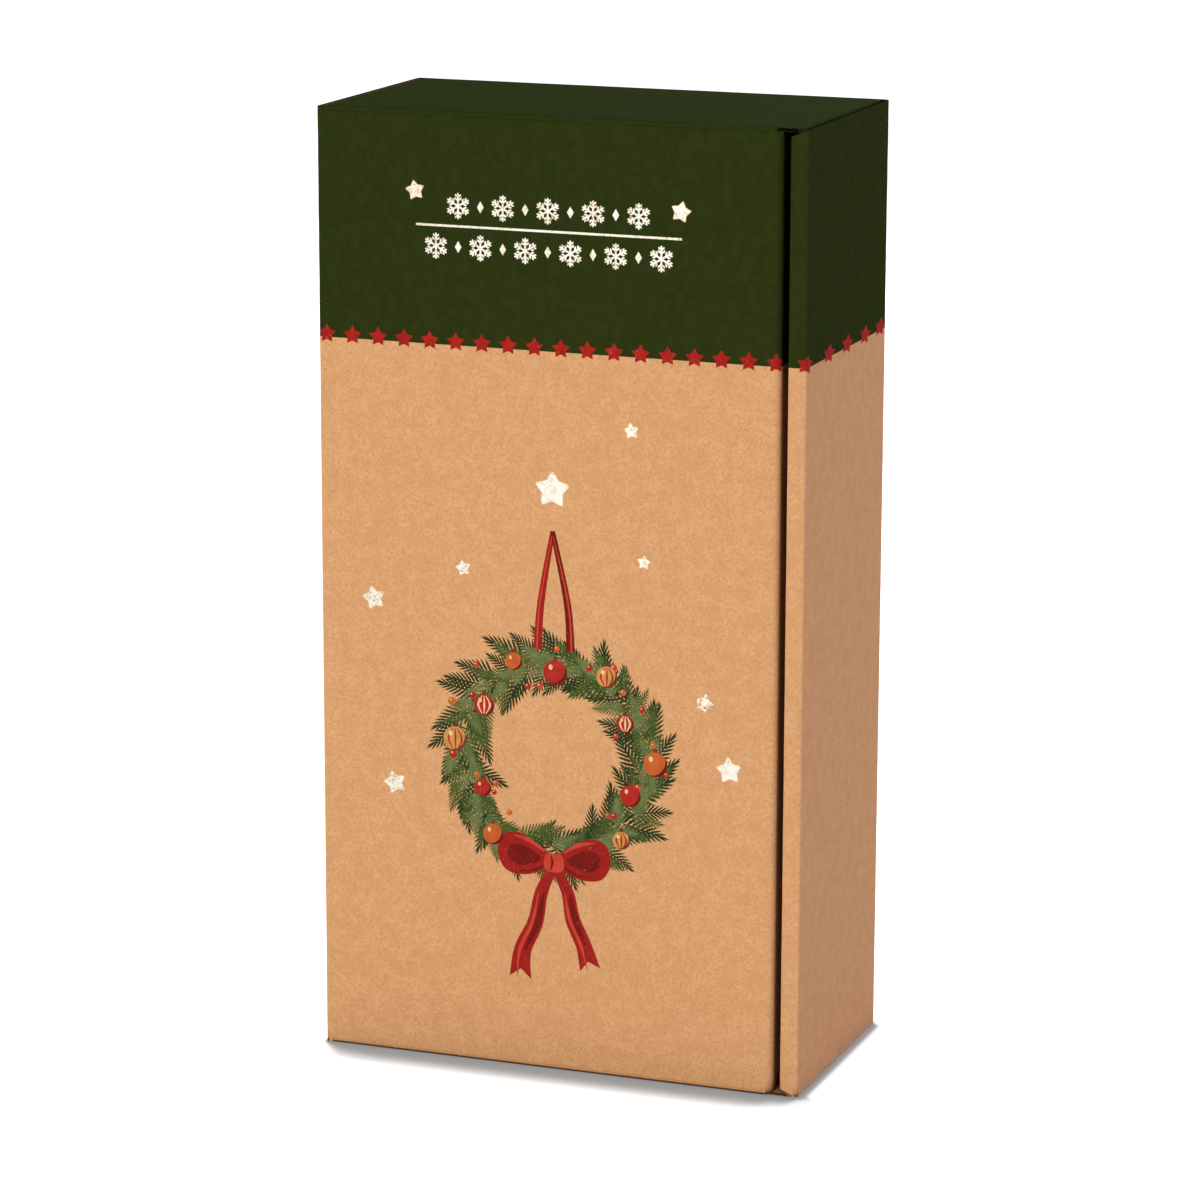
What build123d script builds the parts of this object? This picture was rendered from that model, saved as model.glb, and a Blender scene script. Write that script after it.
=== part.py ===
from build123d import *

import os
from math import cos, radians, sin, sqrt, tan

os.makedirs("parts", exist_ok=True)

# A standing carton for two bottles, folded from corrugated board, in millimetres.
# It stands on its bottom wall with the lid towards -Y. The origin is the middle
# of its footprint. The lid opens like a door about its left long edge.

# Case
width = 190
depth = 97
height = 360
board = 1.6

# Double wall on the right: outer layer, corner flap, free space, inner layer
seam = 0.4
wall_play = 1.8
ridge_taper = 2.8
right_lift = 0.8
left_lift = 0.4
tab_length = 45
tab_spacing = 180
tab_clearance = 0.3

# Corner flaps on the ends of the top and bottom walls
corner_flap_length = 60
corner_flap_inset = 1
corner_flap_taper = 3
corner_flap_radius = 8

# Lid and its flaps
lid_lift = 0.5
slot = 2.7
lid_corner_width = 1.6
lid_corner_height = 3
dust_flap_depth = 40
dust_flap_hinge_gap = 12
dust_flap_tuck_gap = 4
dust_flap_taper = 6
dust_flap_radius = 6
flap_swing = 35

# Insert: a neck shelf with lips, and a divider with a flange
shelf_height = 264
neck_width = 34
lip_height = 30
lip_setback = 8
flange_width = 45
flange_inset = 8
divider_tab_length = 36
divider_tab_height = 4

# Running clearance of a moving panel, and the gap in a crease
clearance = 0.3
crease_gap = 0.15
crease_tip = 0.1

# Faces that the panels share
left = -width / 2
right = width / 2
front = -depth / 2
back = depth / 2
left_inside = left + board
right_inside = right - board
back_inside = back - board
lid_inside = front + board
top_inside = height - board
wall_front = lid_inside + clearance
fold_radius = 0.75 * board
half_board = board / 2

# The double wall is as thick as what lies in it
ridge_width = 3 * board + seam + wall_play
ridge_left = right - ridge_width
tuck_outside = ridge_left - slot
tuck_inside = tuck_outside - board

# Axes of the hinge crease and of the tuck flap's crease
hinge_x = left + half_board
hinge_y = front + half_board
tuck_x = tuck_outside - half_board

# The tuck flap is as deep as the slot lets it swing out past the ridge
swing_reach = tuck_outside - hinge_x
swing_room = ridge_left - hinge_x - clearance
tuck_depth = sqrt(swing_room**2 - swing_reach**2)
tuck_tip = hinge_y + tuck_depth

# Reach of a rounded fold along its bisector, and the bevel inside a crease
fold_reach = board * cos(radians(45)) - half_board
inner_bevel = half_board / tan(radians((90 - flap_swing) / 2))
dust_bevel = board * tan(radians(flap_swing))

tab_heights = (height / 2 - tab_spacing / 2, height / 2 + tab_spacing / 2)

# Back panel, the base of the blank, with two slots for the locking tabs
with BuildPart() as back_panel:
    with BuildSketch(Plane.XZ.offset(-back)):
        with Locations((0, height / 2)):
            Rectangle(width, height)
        with Locations(*[(ridge_left + half_board, z) for z in tab_heights]):
            Rectangle(board + 2 * tab_clearance, tab_length + 2 * tab_clearance, mode=Mode.SUBTRACT)
    extrude(amount=board)
    outer_face = back_panel.faces().sort_by(Axis.Y)[-1]
    fillet(outer_face.outer_wire().edges(), radius=fold_radius)
back_panel.part.label = "back_panel"
export_step(back_panel.part, "parts/back_panel.step")

# Left wall, with a pointed edge at the hinge crease
with BuildPart() as left_wall:
    with BuildSketch(Plane.XY.offset(left_lift)):
        Polygon(
            (left, back_inside),
            (left_inside, back_inside),
            (left_inside, hinge_y + half_board + crease_gap),
            (hinge_x + crease_tip, hinge_y + crease_tip + crease_gap),
            (hinge_x - crease_tip, hinge_y + crease_tip + crease_gap),
            (left, hinge_y + half_board + crease_gap),
            align=None,
        )
    extrude(amount=height - 2 * left_lift)
left_wall.part.label = "left_wall"
export_step(left_wall.part, "parts/left_wall.step")

# Outer layer of the double wall
with BuildPart() as right_wall_outer:
    with BuildSketch(Plane.YZ.offset(right_inside)):
        Polygon(
            (lid_inside, right_lift),
            (back_inside, right_lift),
            (back_inside, height - left_lift),
            (lid_inside, height - left_lift),
            align=None,
        )
    extrude(amount=board)
right_wall_outer.part.label = "right_wall_outer"
export_step(right_wall_outer.part, "parts/right_wall_outer.step")

# Ridge, the narrow strip between the two layers, with tapered ends
with BuildPart() as right_wall_ridge:
    with BuildSketch(Plane.XZ.offset(-lid_inside)):
        Polygon(
            (ridge_left, right_lift + ridge_taper),
            (right, right_lift),
            (right, height - left_lift),
            (ridge_left, height - left_lift - ridge_taper),
            align=None,
        )
    extrude(amount=board)
    upright_edges = right_wall_ridge.edges().filter_by(Axis.Z).group_by(Axis.Y)[0]
    fillet(upright_edges.sort_by(Axis.X)[-1], radius=fold_radius)
    upright_edges = right_wall_ridge.edges().filter_by(Axis.Z).group_by(Axis.Y)[0]
    fillet(upright_edges.sort_by(Axis.X)[0], radius=fold_radius / 2)
right_wall_ridge.part.label = "right_wall_ridge"
export_step(right_wall_ridge.part, "parts/right_wall_ridge.step")

# Inner layer of the double wall, with tabs that lock in the back panel
inner_bottom = right_lift + ridge_taper
inner_top = height - left_lift - ridge_taper
with BuildPart() as right_wall_inner:
    with BuildSketch(Plane.YZ.offset(ridge_left)):
        Polygon(
            (lid_inside, inner_bottom),
            (back_inside, inner_bottom),
            (back_inside, inner_top),
            (lid_inside, inner_top),
            align=None,
        )
        with Locations(*[(back_inside, z) for z in tab_heights]):
            Rectangle(board - tab_clearance, tab_length, align=(Align.MIN, Align.CENTER))
    extrude(amount=board)
right_wall_inner.part.label = "right_wall_inner"
export_step(right_wall_inner.part, "parts/right_wall_inner.step")

# Top and bottom walls, and the corner flaps folded from their ends
end_left = left_inside + clearance
end_right = right_inside - seam
for level, outside_z, inside_z in (("bottom", 0, board), ("top", height, top_inside)):
    with BuildPart() as end_wall:
        with BuildSketch(Plane.XY.offset(min(outside_z, inside_z))):
            Polygon(
                (end_left, wall_front),
                (end_right, wall_front),
                (end_right, back_inside),
                (end_left, back_inside),
                align=None,
            )
        extrude(amount=board)
        outer_face = end_wall.faces().sort_by_distance((0, 0, outside_z))[0]
        fillet(outer_face.edges().filter_by(Axis.Y), radius=fold_radius)
    end_wall.part.label = f"{level}_wall"
    export_step(end_wall.part, f"parts/{level}_wall.step")

    inward = 1 if inside_z > outside_z else -1
    flap_end_z = inside_z + inward * corner_flap_length
    for side, flap_x in (("left", end_left), ("right", end_right - board)):
        with BuildPart() as corner_flap:
            with BuildSketch(Plane.YZ.offset(flap_x)):
                Polygon(
                    (wall_front + corner_flap_inset, inside_z),
                    (back_inside - corner_flap_inset, inside_z),
                    (back_inside - corner_flap_inset - corner_flap_taper, flap_end_z),
                    (wall_front + corner_flap_inset + corner_flap_taper, flap_end_z),
                    align=None,
                )
            extrude(amount=board)
            crosswise_edges = corner_flap.edges().filter_by(Axis.X)
            free_corners = crosswise_edges.sort_by_distance((0, 0, inside_z))[-2:]
            fillet(free_corners, radius=corner_flap_radius)
        corner_flap.part.label = f"{level}_{side}_corner_flap"
        export_step(corner_flap.part, f"parts/{level}_{side}_corner_flap.step")

# Lid panel, pointed at the hinge crease, half of a rounded fold at the tuck crease
lid_top = height - left_lift
with BuildPart() as lid_panel:
    with BuildSketch(Plane.XY.offset(lid_lift)):
        with BuildLine():
            Polyline(
                (tuck_x + fold_reach - crease_gap, hinge_y - fold_reach),
                (tuck_x - crease_gap, hinge_y),
                (tuck_x - inner_bevel - crease_gap, lid_inside),
                (hinge_x + half_board + crease_gap, lid_inside),
                (hinge_x + crease_tip + crease_gap, hinge_y + crease_tip),
                (hinge_x + crease_tip + crease_gap, hinge_y - crease_tip),
                (hinge_x + half_board + crease_gap, front),
                (tuck_x - half_board, front),
            )
            RadiusArc(
                (tuck_x - half_board, front),
                (tuck_x + fold_reach - crease_gap, hinge_y - fold_reach),
                -board,
            )
        make_face()
    extrude(amount=lid_top - lid_lift)
    for edge_z, inward in ((lid_lift, 1), (lid_top, -1)):
        with BuildSketch(Plane.XZ.offset(-lid_inside)):
            Polygon(
                (tuck_outside - lid_corner_width, edge_z),
                (tuck_outside, edge_z),
                (tuck_outside, edge_z + inward * lid_corner_height),
                align=None,
            )
        extrude(amount=board, mode=Mode.SUBTRACT)
    with BuildSketch(Plane.YZ.offset(left)):
        with Locations((hinge_y, (lid_lift + lid_top) / 2)):
            Rectangle(board, lid_top - lid_lift)
        fillet(vertices().group_by(Axis.X)[0], radius=fold_radius)
    extrude(amount=width, mode=Mode.INTERSECT)
lid_panel.part.label = "lid_panel"
export_step(lid_panel.part, "parts/lid_panel.step")

# Tuck flap, the other half of the rounded fold, with ends cut back at 45 degrees
tuck_bottom = lid_lift + lid_corner_height
tuck_top = lid_top - lid_corner_height
with BuildPart() as lid_tuck_flap:
    with BuildSketch(Plane.XY.offset(tuck_bottom)):
        with BuildLine():
            Polyline(
                (tuck_outside, hinge_y + half_board),
                (tuck_outside, tuck_tip),
                (tuck_inside, tuck_tip),
                (tuck_inside, hinge_y + inner_bevel + crease_gap),
                (tuck_x, hinge_y + crease_gap),
                (tuck_x + fold_reach, hinge_y - fold_reach + crease_gap),
            )
            RadiusArc(
                (tuck_x + fold_reach, hinge_y - fold_reach + crease_gap),
                (tuck_outside, hinge_y + half_board),
                -board,
            )
        make_face()
    extrude(amount=tuck_top - tuck_bottom)
    with BuildSketch(Plane.YZ.offset(tuck_inside)):
        Polygon(
            (front, tuck_bottom),
            (hinge_y, tuck_bottom),
            (tuck_tip, tuck_bottom + tuck_depth),
            (tuck_tip, tuck_top - tuck_depth),
            (hinge_y, tuck_top),
            (front, tuck_top),
            align=None,
        )
    extrude(amount=board, mode=Mode.INTERSECT)
lid_tuck_flap.part.label = "lid_tuck_flap"
export_step(lid_tuck_flap.part, "parts/lid_tuck_flap.step")

# Dust flaps, behind the top and bottom edges of the lid, bevelled at the crease
dust_left = left_inside + dust_flap_hinge_gap
dust_right = tuck_inside - dust_flap_tuck_gap
for level, wall_inside, inward in (("bottom", board, 1), ("top", top_inside, -1)):
    outer_z = wall_inside + inward * clearance
    inner_z = outer_z + inward * board
    with BuildPart() as dust_flap:
        with BuildSketch(Plane.YZ.offset(dust_left)):
            Polygon(
                (lid_inside + crease_gap, outer_z),
                (lid_inside + dust_flap_depth, outer_z),
                (lid_inside + dust_flap_depth, inner_z),
                (lid_inside + crease_gap + dust_bevel, inner_z),
                align=None,
            )
        extrude(amount=dust_right - dust_left)
        with BuildSketch(Plane.XY.offset(min(outer_z, inner_z))):
            Polygon(
                (dust_left, lid_inside),
                (dust_right, lid_inside),
                (dust_right - dust_flap_taper, lid_inside + dust_flap_depth),
                (dust_left + dust_flap_taper, lid_inside + dust_flap_depth),
                align=None,
            )
        extrude(amount=board, mode=Mode.INTERSECT)
        free_corners = dust_flap.edges().filter_by(Axis.Z).group_by(Axis.Y)[-1]
        fillet(free_corners, radius=dust_flap_radius)
    dust_flap.part.label = f"lid_{level}_flap"
    export_step(dust_flap.part, f"parts/lid_{level}_flap.step")

# Insert. The shelf lies between the corner flaps on the left and the double wall
insert_left = end_left + board + clearance
insert_right = ridge_left - clearance
insert_front = lid_inside + 3 * clearance
insert_back = back_inside - clearance
divider_x = (left_inside + tuck_inside) / 2
bay_centres = ((left_inside + divider_x) / 2, (divider_x + tuck_inside) / 2)
relief_left = tuck_x - half_board - tuck_depth * sin(radians(flap_swing)) - clearance
relief_back = tuck_tip + 3 * clearance
divider_tab_y = back_inside - 2 * lip_setback - divider_tab_length / 2

# Neck shelf: two U notches open to the front, and a corner cut away for the tuck flap
with BuildPart() as neck_shelf:
    with BuildSketch(Plane.XY.offset(shelf_height)):
        Polygon(
            (insert_left, insert_front),
            (relief_left, insert_front),
            (relief_left, relief_back),
            (insert_right, relief_back),
            (insert_right, insert_back),
            (insert_left, insert_back),
            align=None,
        )
        with Locations(*[(x, 0) for x in bay_centres]):
            Circle(neck_width / 2, mode=Mode.SUBTRACT)
            Rectangle(neck_width, depth / 2, align=(Align.CENTER, Align.MAX), mode=Mode.SUBTRACT)
        with Locations((divider_x, divider_tab_y)):
            Rectangle(
                board + 2 * tab_clearance,
                divider_tab_length + 2 * tab_clearance,
                mode=Mode.SUBTRACT,
            )
    extrude(amount=board)
neck_shelf.part.label = "neck_shelf"
export_step(neck_shelf.part, "parts/neck_shelf.step")

# Back panel of the shelf, folded up to the top wall
with BuildPart() as shelf_back_panel:
    with BuildSketch(Plane.XZ.offset(-insert_back)):
        Polygon(
            (insert_left, shelf_height + board),
            (insert_right, shelf_height + board),
            (insert_right, top_inside - clearance),
            (insert_left, top_inside - clearance),
            align=None,
        )
    extrude(amount=board)
shelf_back_panel.part.label = "shelf_back_panel"
export_step(shelf_back_panel.part, "parts/shelf_back_panel.step")

# Side lips of the shelf, folded down
lip_back = insert_back - lip_setback
for side, lip_x, lip_front in (
    ("left", insert_left, insert_front + lip_setback),
    ("right", insert_right - board, relief_back + lip_setback),
):
    with BuildPart() as shelf_lip:
        with BuildSketch(Plane.YZ.offset(lip_x)):
            Polygon(
                (lip_front, shelf_height),
                (lip_back, shelf_height),
                (lip_back, shelf_height - lip_height),
                (lip_front, shelf_height - lip_height),
                align=None,
            )
        extrude(amount=board)
    shelf_lip.part.label = f"shelf_{side}_lip"
    export_step(shelf_lip.part, f"parts/shelf_{side}_lip.step")

# Divider between the bottles, cut away below for the bottom dust flap
dust_relief_back = lid_inside + dust_flap_depth + 3 * clearance
dust_relief_top = 2 * board + dust_flap_depth * sin(radians(flap_swing)) + 3 * clearance
with BuildPart() as divider:
    with BuildSketch(Plane.YZ.offset(divider_x - half_board)):
        Polygon(
            (insert_front, shelf_height),
            (insert_front, dust_relief_top),
            (dust_relief_back, dust_relief_top),
            (dust_relief_back, board),
            (insert_back, board),
            (insert_back, shelf_height),
            align=None,
        )
        with Locations((divider_tab_y, shelf_height)):
            Rectangle(divider_tab_length, divider_tab_height, align=(Align.CENTER, Align.MIN))
    extrude(amount=board)
divider.part.label = "divider"
export_step(divider.part, "parts/divider.step")

# Flange of the divider, folded along the back panel
flange_left = divider_x + half_board
with BuildPart() as divider_flange:
    with BuildSketch(Plane.XZ.offset(-insert_back)):
        Polygon(
            (flange_left, board + flange_inset),
            (flange_left + flange_width, board + flange_inset),
            (flange_left + flange_width, shelf_height - flange_inset),
            (flange_left, shelf_height - flange_inset),
            align=None,
        )
    extrude(amount=board)
divider_flange.part.label = "divider_flange"
export_step(divider_flange.part, "parts/divider_flange.step")
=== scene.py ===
import random
from math import ceil, cos, pi, radians, sin, sqrt, tan, tau

import bmesh
import bpy
from mathutils import Matrix, Vector


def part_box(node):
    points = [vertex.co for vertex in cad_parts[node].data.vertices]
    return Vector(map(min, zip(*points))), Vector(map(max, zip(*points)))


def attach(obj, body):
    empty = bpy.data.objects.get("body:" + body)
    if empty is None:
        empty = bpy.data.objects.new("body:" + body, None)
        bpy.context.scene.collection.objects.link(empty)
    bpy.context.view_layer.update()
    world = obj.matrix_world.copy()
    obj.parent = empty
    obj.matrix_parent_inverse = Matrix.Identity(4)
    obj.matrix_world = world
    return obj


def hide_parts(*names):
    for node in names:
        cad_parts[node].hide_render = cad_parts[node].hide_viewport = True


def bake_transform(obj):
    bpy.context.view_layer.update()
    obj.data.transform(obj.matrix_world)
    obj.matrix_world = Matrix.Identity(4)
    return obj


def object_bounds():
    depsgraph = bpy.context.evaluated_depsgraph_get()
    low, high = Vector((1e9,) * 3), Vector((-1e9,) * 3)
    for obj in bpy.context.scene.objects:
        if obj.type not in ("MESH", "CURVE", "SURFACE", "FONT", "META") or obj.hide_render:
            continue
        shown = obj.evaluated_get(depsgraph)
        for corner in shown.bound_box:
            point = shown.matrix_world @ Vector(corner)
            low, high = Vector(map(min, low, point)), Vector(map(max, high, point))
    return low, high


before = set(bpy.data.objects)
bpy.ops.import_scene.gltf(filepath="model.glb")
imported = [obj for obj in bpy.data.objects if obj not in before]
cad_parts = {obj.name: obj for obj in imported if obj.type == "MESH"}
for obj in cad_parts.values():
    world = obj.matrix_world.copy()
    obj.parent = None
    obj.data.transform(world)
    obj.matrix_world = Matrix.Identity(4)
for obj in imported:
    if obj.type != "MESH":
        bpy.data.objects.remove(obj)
cad_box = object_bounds()
scene = bpy.context.scene
mm = 0.001

# The view. The box stands a little turned, so that the lid and the double wall on the
# right are seen together, from somewhat above the lid's middle.
lens = 139.7
azimuth, elevation, roll = radians(20.49), radians(12.97), radians(0.17)
distance = 1.7073
aim = Vector((0.01675, -0.0485, 0.1832))
towards_camera = Vector((sin(azimuth) * cos(elevation), -cos(azimuth) * cos(elevation), sin(elevation)))
camera = bpy.data.objects.new("camera", bpy.data.cameras.new("camera"))
camera.data.lens = lens
camera.data.sensor_width = 36
camera.location = aim + towards_camera * distance
turn = (-towards_camera).to_track_quat("-Z", "Y").to_matrix().to_4x4() @ Matrix.Rotation(roll, 4, "Z")
camera.rotation_euler = turn.to_euler()
scene.collection.objects.link(camera)
scene.camera = camera
scene.view_settings.view_transform = "Standard"


# The room: a white floor with a soft shadow painted at the foot of the box, a surround that
# the camera sees as white, and soft lamps in front, at the sides, behind and overhead.
class Value:
    """A number in a node tree. Sums that are written with it become Math nodes."""

    def __init__(self, tree, socket):
        self.tree = tree
        self.socket = socket

    def maths(self, operation, *others):
        """This value put through a Math node, with the other values that it takes."""
        return self.tree.maths(operation, self, *others)

    def __add__(self, other):
        return self.maths("ADD", other)

    def __radd__(self, other):
        return self.tree.maths("ADD", other, self)

    def __sub__(self, other):
        return self.maths("SUBTRACT", other)

    def __rsub__(self, other):
        return self.tree.maths("SUBTRACT", other, self)

    def __mul__(self, other):
        return self.maths("MULTIPLY", other)

    def __rmul__(self, other):
        return self.tree.maths("MULTIPLY", other, self)

    def __truediv__(self, other):
        return self.maths("DIVIDE", other)

    def __gt__(self, other):
        return self.maths("GREATER_THAN", other)

    def __lt__(self, other):
        return self.maths("LESS_THAN", other)


class Tree:
    """A node tree that is filled by node calls and by sums of values."""

    def __init__(self, node_tree):
        self.node_tree = node_tree

    def link(self, given, socket):
        """Links a value or an output socket to an input socket."""
        self.node_tree.links.new(given.socket if isinstance(given, Value) else given, socket)

    def node(self, kind, settings=None, inputs=None):
        """Makes a node of that type with those settings, and those values or links in its sockets."""
        made = self.node_tree.nodes.new(kind)
        for name, setting in (settings or {}).items():
            setattr(made, name, setting)
        for key, given in (inputs or {}).items():
            if isinstance(given, (Value, bpy.types.NodeSocket)):
                self.link(given, made.inputs[key])
            else:
                made.inputs[key].default_value = given
        return made

    def out(self, kind, settings=None, inputs=None, output=0):
        """The output socket of such a node."""
        return self.node(kind, settings, inputs).outputs[output]

    def value(self, kind, settings=None, inputs=None, output=0):
        """The output of such a node, as a value for sums."""
        return Value(self, self.out(kind, settings, inputs, output))

    def maths(self, operation, *operands):
        """A Math node on those operands."""
        return self.value("ShaderNodeMath", {"operation": operation}, dict(enumerate(operands)))

    def combine(self, x=0.0, y=0.0, z=0.0):
        """A vector from three numbers."""
        return self.out("ShaderNodeCombineXYZ", None, {"X": x, "Y": y, "Z": z})

    def along(self, axis, vector):
        """The number of a vector along that axis."""
        return self.value("ShaderNodeSeparateXYZ", None, {"Vector": vector}, axis)

    def ramp(self, given, start, end, low=0.0, high=1.0):
        """Low up to start, high beyond end, and smooth between them."""
        return self.value(
            "ShaderNodeMapRange",
            {"interpolation_type": "SMOOTHSTEP"},
            {"Value": given, "From Min": start, "From Max": end, "To Min": low, "To Max": high},
        )

    def mix(self, share, first, second):
        """Blends two colours and gives the colour socket."""
        return self.out("ShaderNodeMix", {"data_type": "RGBA"}, {0: share, 6: first, 7: second}, 2)


white, black = (1, 1, 1, 1), (0, 0, 0, 1)
surround_light = 0.16
surround_colour = (0.985, 0.985, 1.16, 1)
floor_tone = (0.8, 0.8, 0.8, 1)
floor_glow, half_floor = 0.92, 9
reach_ahead, reach_right, reach_left = 0.03, 0.006, 0.002
shaded_openness, clear_openness, deepest_shade = 0.64, 0.97, 0.24
lamp_aim = Vector((0, 0, 0.16))
lamps = (
    ("front_lamp", 0.35, 20.6, (1.0, 0.995, 0.92), Vector((-0.05, -1.85, 0.35))),
    ("right_lamp", 0.9, 14.8, (0.99, 0.98, 1.24), Vector((2.2, 0.3, 0.6))),
    ("left_lamp", 0.9, 15, (0.99, 0.985, 1.0), Vector((-2.2, 0.3, 0.6))),
    ("back_lamp", 0.9, 15, (0.99, 0.985, 1.0), Vector((0.0, 2.2, 0.6))),
    ("overhead_lamp", 1.2, 25, (0.80, 1.0, 1.0), Vector((0.0, 0.1, 2.5))),
)

scene.world = bpy.data.worlds.new("surround")
scene.world.use_nodes = True
surround = Tree(scene.world.node_tree)
path = surround.node("ShaderNodeLightPath")
seen = surround.maths("MAXIMUM", path.outputs["Is Camera Ray"], path.outputs["Is Glossy Ray"])
seen = seen.maths("MAXIMUM", path.outputs["Is Transmission Ray"])
background = scene.world.node_tree.nodes["Background"]
surround.link(surround.mix(seen, surround_colour, white), background.inputs["Color"])
surround.link(surround_light + (1 - surround_light) * seen, background.inputs["Strength"])

floor_mesh = bpy.data.meshes.new("floor")
floor_corners = [(x * half_floor, y * half_floor, 0) for x, y in ((-1, -1), (1, -1), (1, 1), (-1, 1))]
floor_mesh.from_pydata(floor_corners, [], [(0, 1, 2, 3)])
floor = bpy.data.objects.new("floor", floor_mesh)
scene.collection.objects.link(floor)
floor_paint = bpy.data.materials.new("white_floor")
floor_paint.use_nodes = True
floor_tree = Tree(floor_paint.node_tree)
shader = floor_paint.node_tree.nodes["Principled BSDF"]
shader.inputs["Roughness"].default_value = 1
shader.inputs["Specular IOR Level"].default_value = 0
shader.inputs["Emission Strength"].default_value = floor_glow
floor_place = floor_tree.out("ShaderNodeTexCoord", output="Object")
floor_x, floor_y = (floor_tree.along(axis, floor_place) for axis in "XY")
box_left, box_front = cad_box[0].x, cad_box[0].y
# Painted shadow: the floor's colour and glow are darkened by how enclosed each place is. The shadow reaches
# 30 mm ahead of the box, 6 mm to its right and 2 mm to its left.
left_fade = (box_left - 0.003, box_left + 0.012)
middle_fade = (-0.05, 0.05)
front_fade = (box_front - 0.004, box_front + 0.006)
ahead = floor_tree.ramp(floor_x, *left_fade, reach_left, reach_ahead)
beside = floor_tree.ramp(floor_x, *middle_fade, reach_left, reach_right)
reach = floor_tree.ramp(floor_y, *front_fade, ahead, beside)
openness = floor_tree.out("ShaderNodeAmbientOcclusion", None, {"Distance": reach}, "AO")
shade = floor_tree.ramp(openness, shaded_openness, clear_openness, deepest_shade, 1.0)
glow = shade * floor_tree.out("ShaderNodeLightPath", output="Is Camera Ray")
floor_tree.link(floor_tree.mix(shade, black, floor_tone), shader.inputs["Base Color"])
floor_tree.link(floor_tree.mix(glow, black, white), shader.inputs["Emission Color"])
floor_mesh.materials.append(floor_paint)

for name, size, power, colour, place in lamps:
    lamp = bpy.data.objects.new(name, bpy.data.lights.new(name, "AREA"))
    lamp.data.size = size
    lamp.data.energy = power
    lamp.data.color = colour
    lamp.location = place
    lamp.rotation_euler = (place - lamp_aim).to_track_quat("Z", "Y").to_euler()
    scene.collection.objects.link(lamp)


# The back panel is the base of the blank. Like every panel it is E-flute board: a wavy
# medium glued between two kraft liners, printed outside and bare inside.
def box_mm(node):
    """Lowest and highest corner of a CAD node, in millimetres."""
    low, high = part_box(node)
    return low / mm, high / mm


low, high = cad_box[0] / mm, cad_box[1] / mm
left, front = low.x, low.y
right, back, top = high
back_low, back_high = box_mm("back_panel")
board = round(back_high.y - back_low.y, 3)
ink_room = 0.1
thickness = board - ink_room
liner, medium, flute_pitch = 0.25, 0.16, 3.3
flute_steps = 8
fold_reach = 1.2

kraft_colour = (0.735, 0.382, 0.180, 1)
kraft_light = (0.79, 0.43, 0.217, 1)
kraft_dark = (0.60, 0.290, 0.127, 1)
fibre_dark = (0.30, 0.135, 0.055, 1)
fibre_light = (0.86, 0.50, 0.265, 1)
inner_liner_shade = (0.36, 0.185, 0.082, 1)
# The cut edge is darker than the liner: the cut board's own browner tone, with painted shade for the seams
# where cut edges show.
raw_edge_colour = (0.33, 0.165, 0.072, 1)
raw_edge_shade = (0.21, 0.100, 0.042, 1)
stained_edge, stained_edge_shade = (0.030, 0.031, 0.011, 1), (0.012, 0.013, 0.005, 1)
green_ink = (0.0234, 0.0317, 0.0058, 1)
green_ink_light = (0.0307, 0.0400, 0.0088, 1)
band_edge, band_blur = 0.2742, 0.00006
slot_reach, slot_openness, slot_shade = 0.005, (0.20, 0.48), 0.04


class Finish(Tree):
    """A surface finish: a principled shader and the places on the object that it reads."""

    def __init__(self, name, roughness=0.8, specular=0.18):
        self.material = bpy.data.materials.new(name)
        self.material.use_nodes = True
        super().__init__(self.material.node_tree)
        self.shader = self.material.node_tree.nodes["Principled BSDF"]
        self.shader.inputs["Roughness"].default_value = roughness
        self.shader.inputs["Specular IOR Level"].default_value = specular
        self.place = self.out("ShaderNodeTexCoord", output="Object")

    def noise(self, per_metre, detail=2.0, stretch=(1, 1, 1), offset=0.0, twist=0.0):
        """Soft noise with that many patches to the metre, from 0 to 1."""
        mapping = {"Vector": self.place, "Scale": stretch, "Location": (offset,) * 3}
        at = self.out("ShaderNodeMapping", None, mapping)
        settings = {"Vector": at, "Scale": per_metre, "Detail": detail, "Distortion": twist}
        return self.value("ShaderNodeTexNoise", None, settings)

    def relief(self, height, depth):
        """Raises the surface by height, a value from 0 to 1, times depth in metres."""
        bump = {"Height": height, "Distance": depth, "Strength": 1.0}
        self.feed("Normal", self.out("ShaderNodeBump", None, bump))

    def feed(self, socket, given):
        """Links a value or a colour to that socket of the shader."""
        self.link(given, self.shader.inputs[socket])


def kraft_paper(finish):
    """Colour and grain of a kraft liner: faint clouds of pulp, matted fibres and a few dark specks."""
    clouds = finish.noise(170, 3, offset=3.1)
    grain = finish.noise(1150, 4, offset=7.7, twist=0.3)
    fibres = finish.noise(2300, 1, (1, 1, 0.3), twist=0.5).maths(
        "MAXIMUM", finish.noise(2300, 1, (0.3, 0.3, 1), 5.0, 0.5)
    )
    pale = finish.noise(1700, 1, (1, 1, 0.4), 11.0, 0.5)
    specks = finish.noise(1200, 0, offset=2.9)
    colour = finish.mix(finish.ramp(clouds, 0.32, 0.68), kraft_dark, kraft_light)
    colour = finish.mix(0.7, colour, kraft_colour)
    colour = finish.mix(finish.ramp(grain, 0.38, 0.68) * 0.75, colour, kraft_dark)
    colour = finish.mix(finish.ramp(fibres, 0.56, 0.78) * 0.3, colour, kraft_dark)
    colour = finish.mix(finish.ramp(pale, 0.58, 0.80) * 0.3, colour, fibre_light)
    colour = finish.mix(finish.ramp(specks, 0.79, 0.83) * 0.6, colour, fibre_dark)
    return colour, grain


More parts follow.
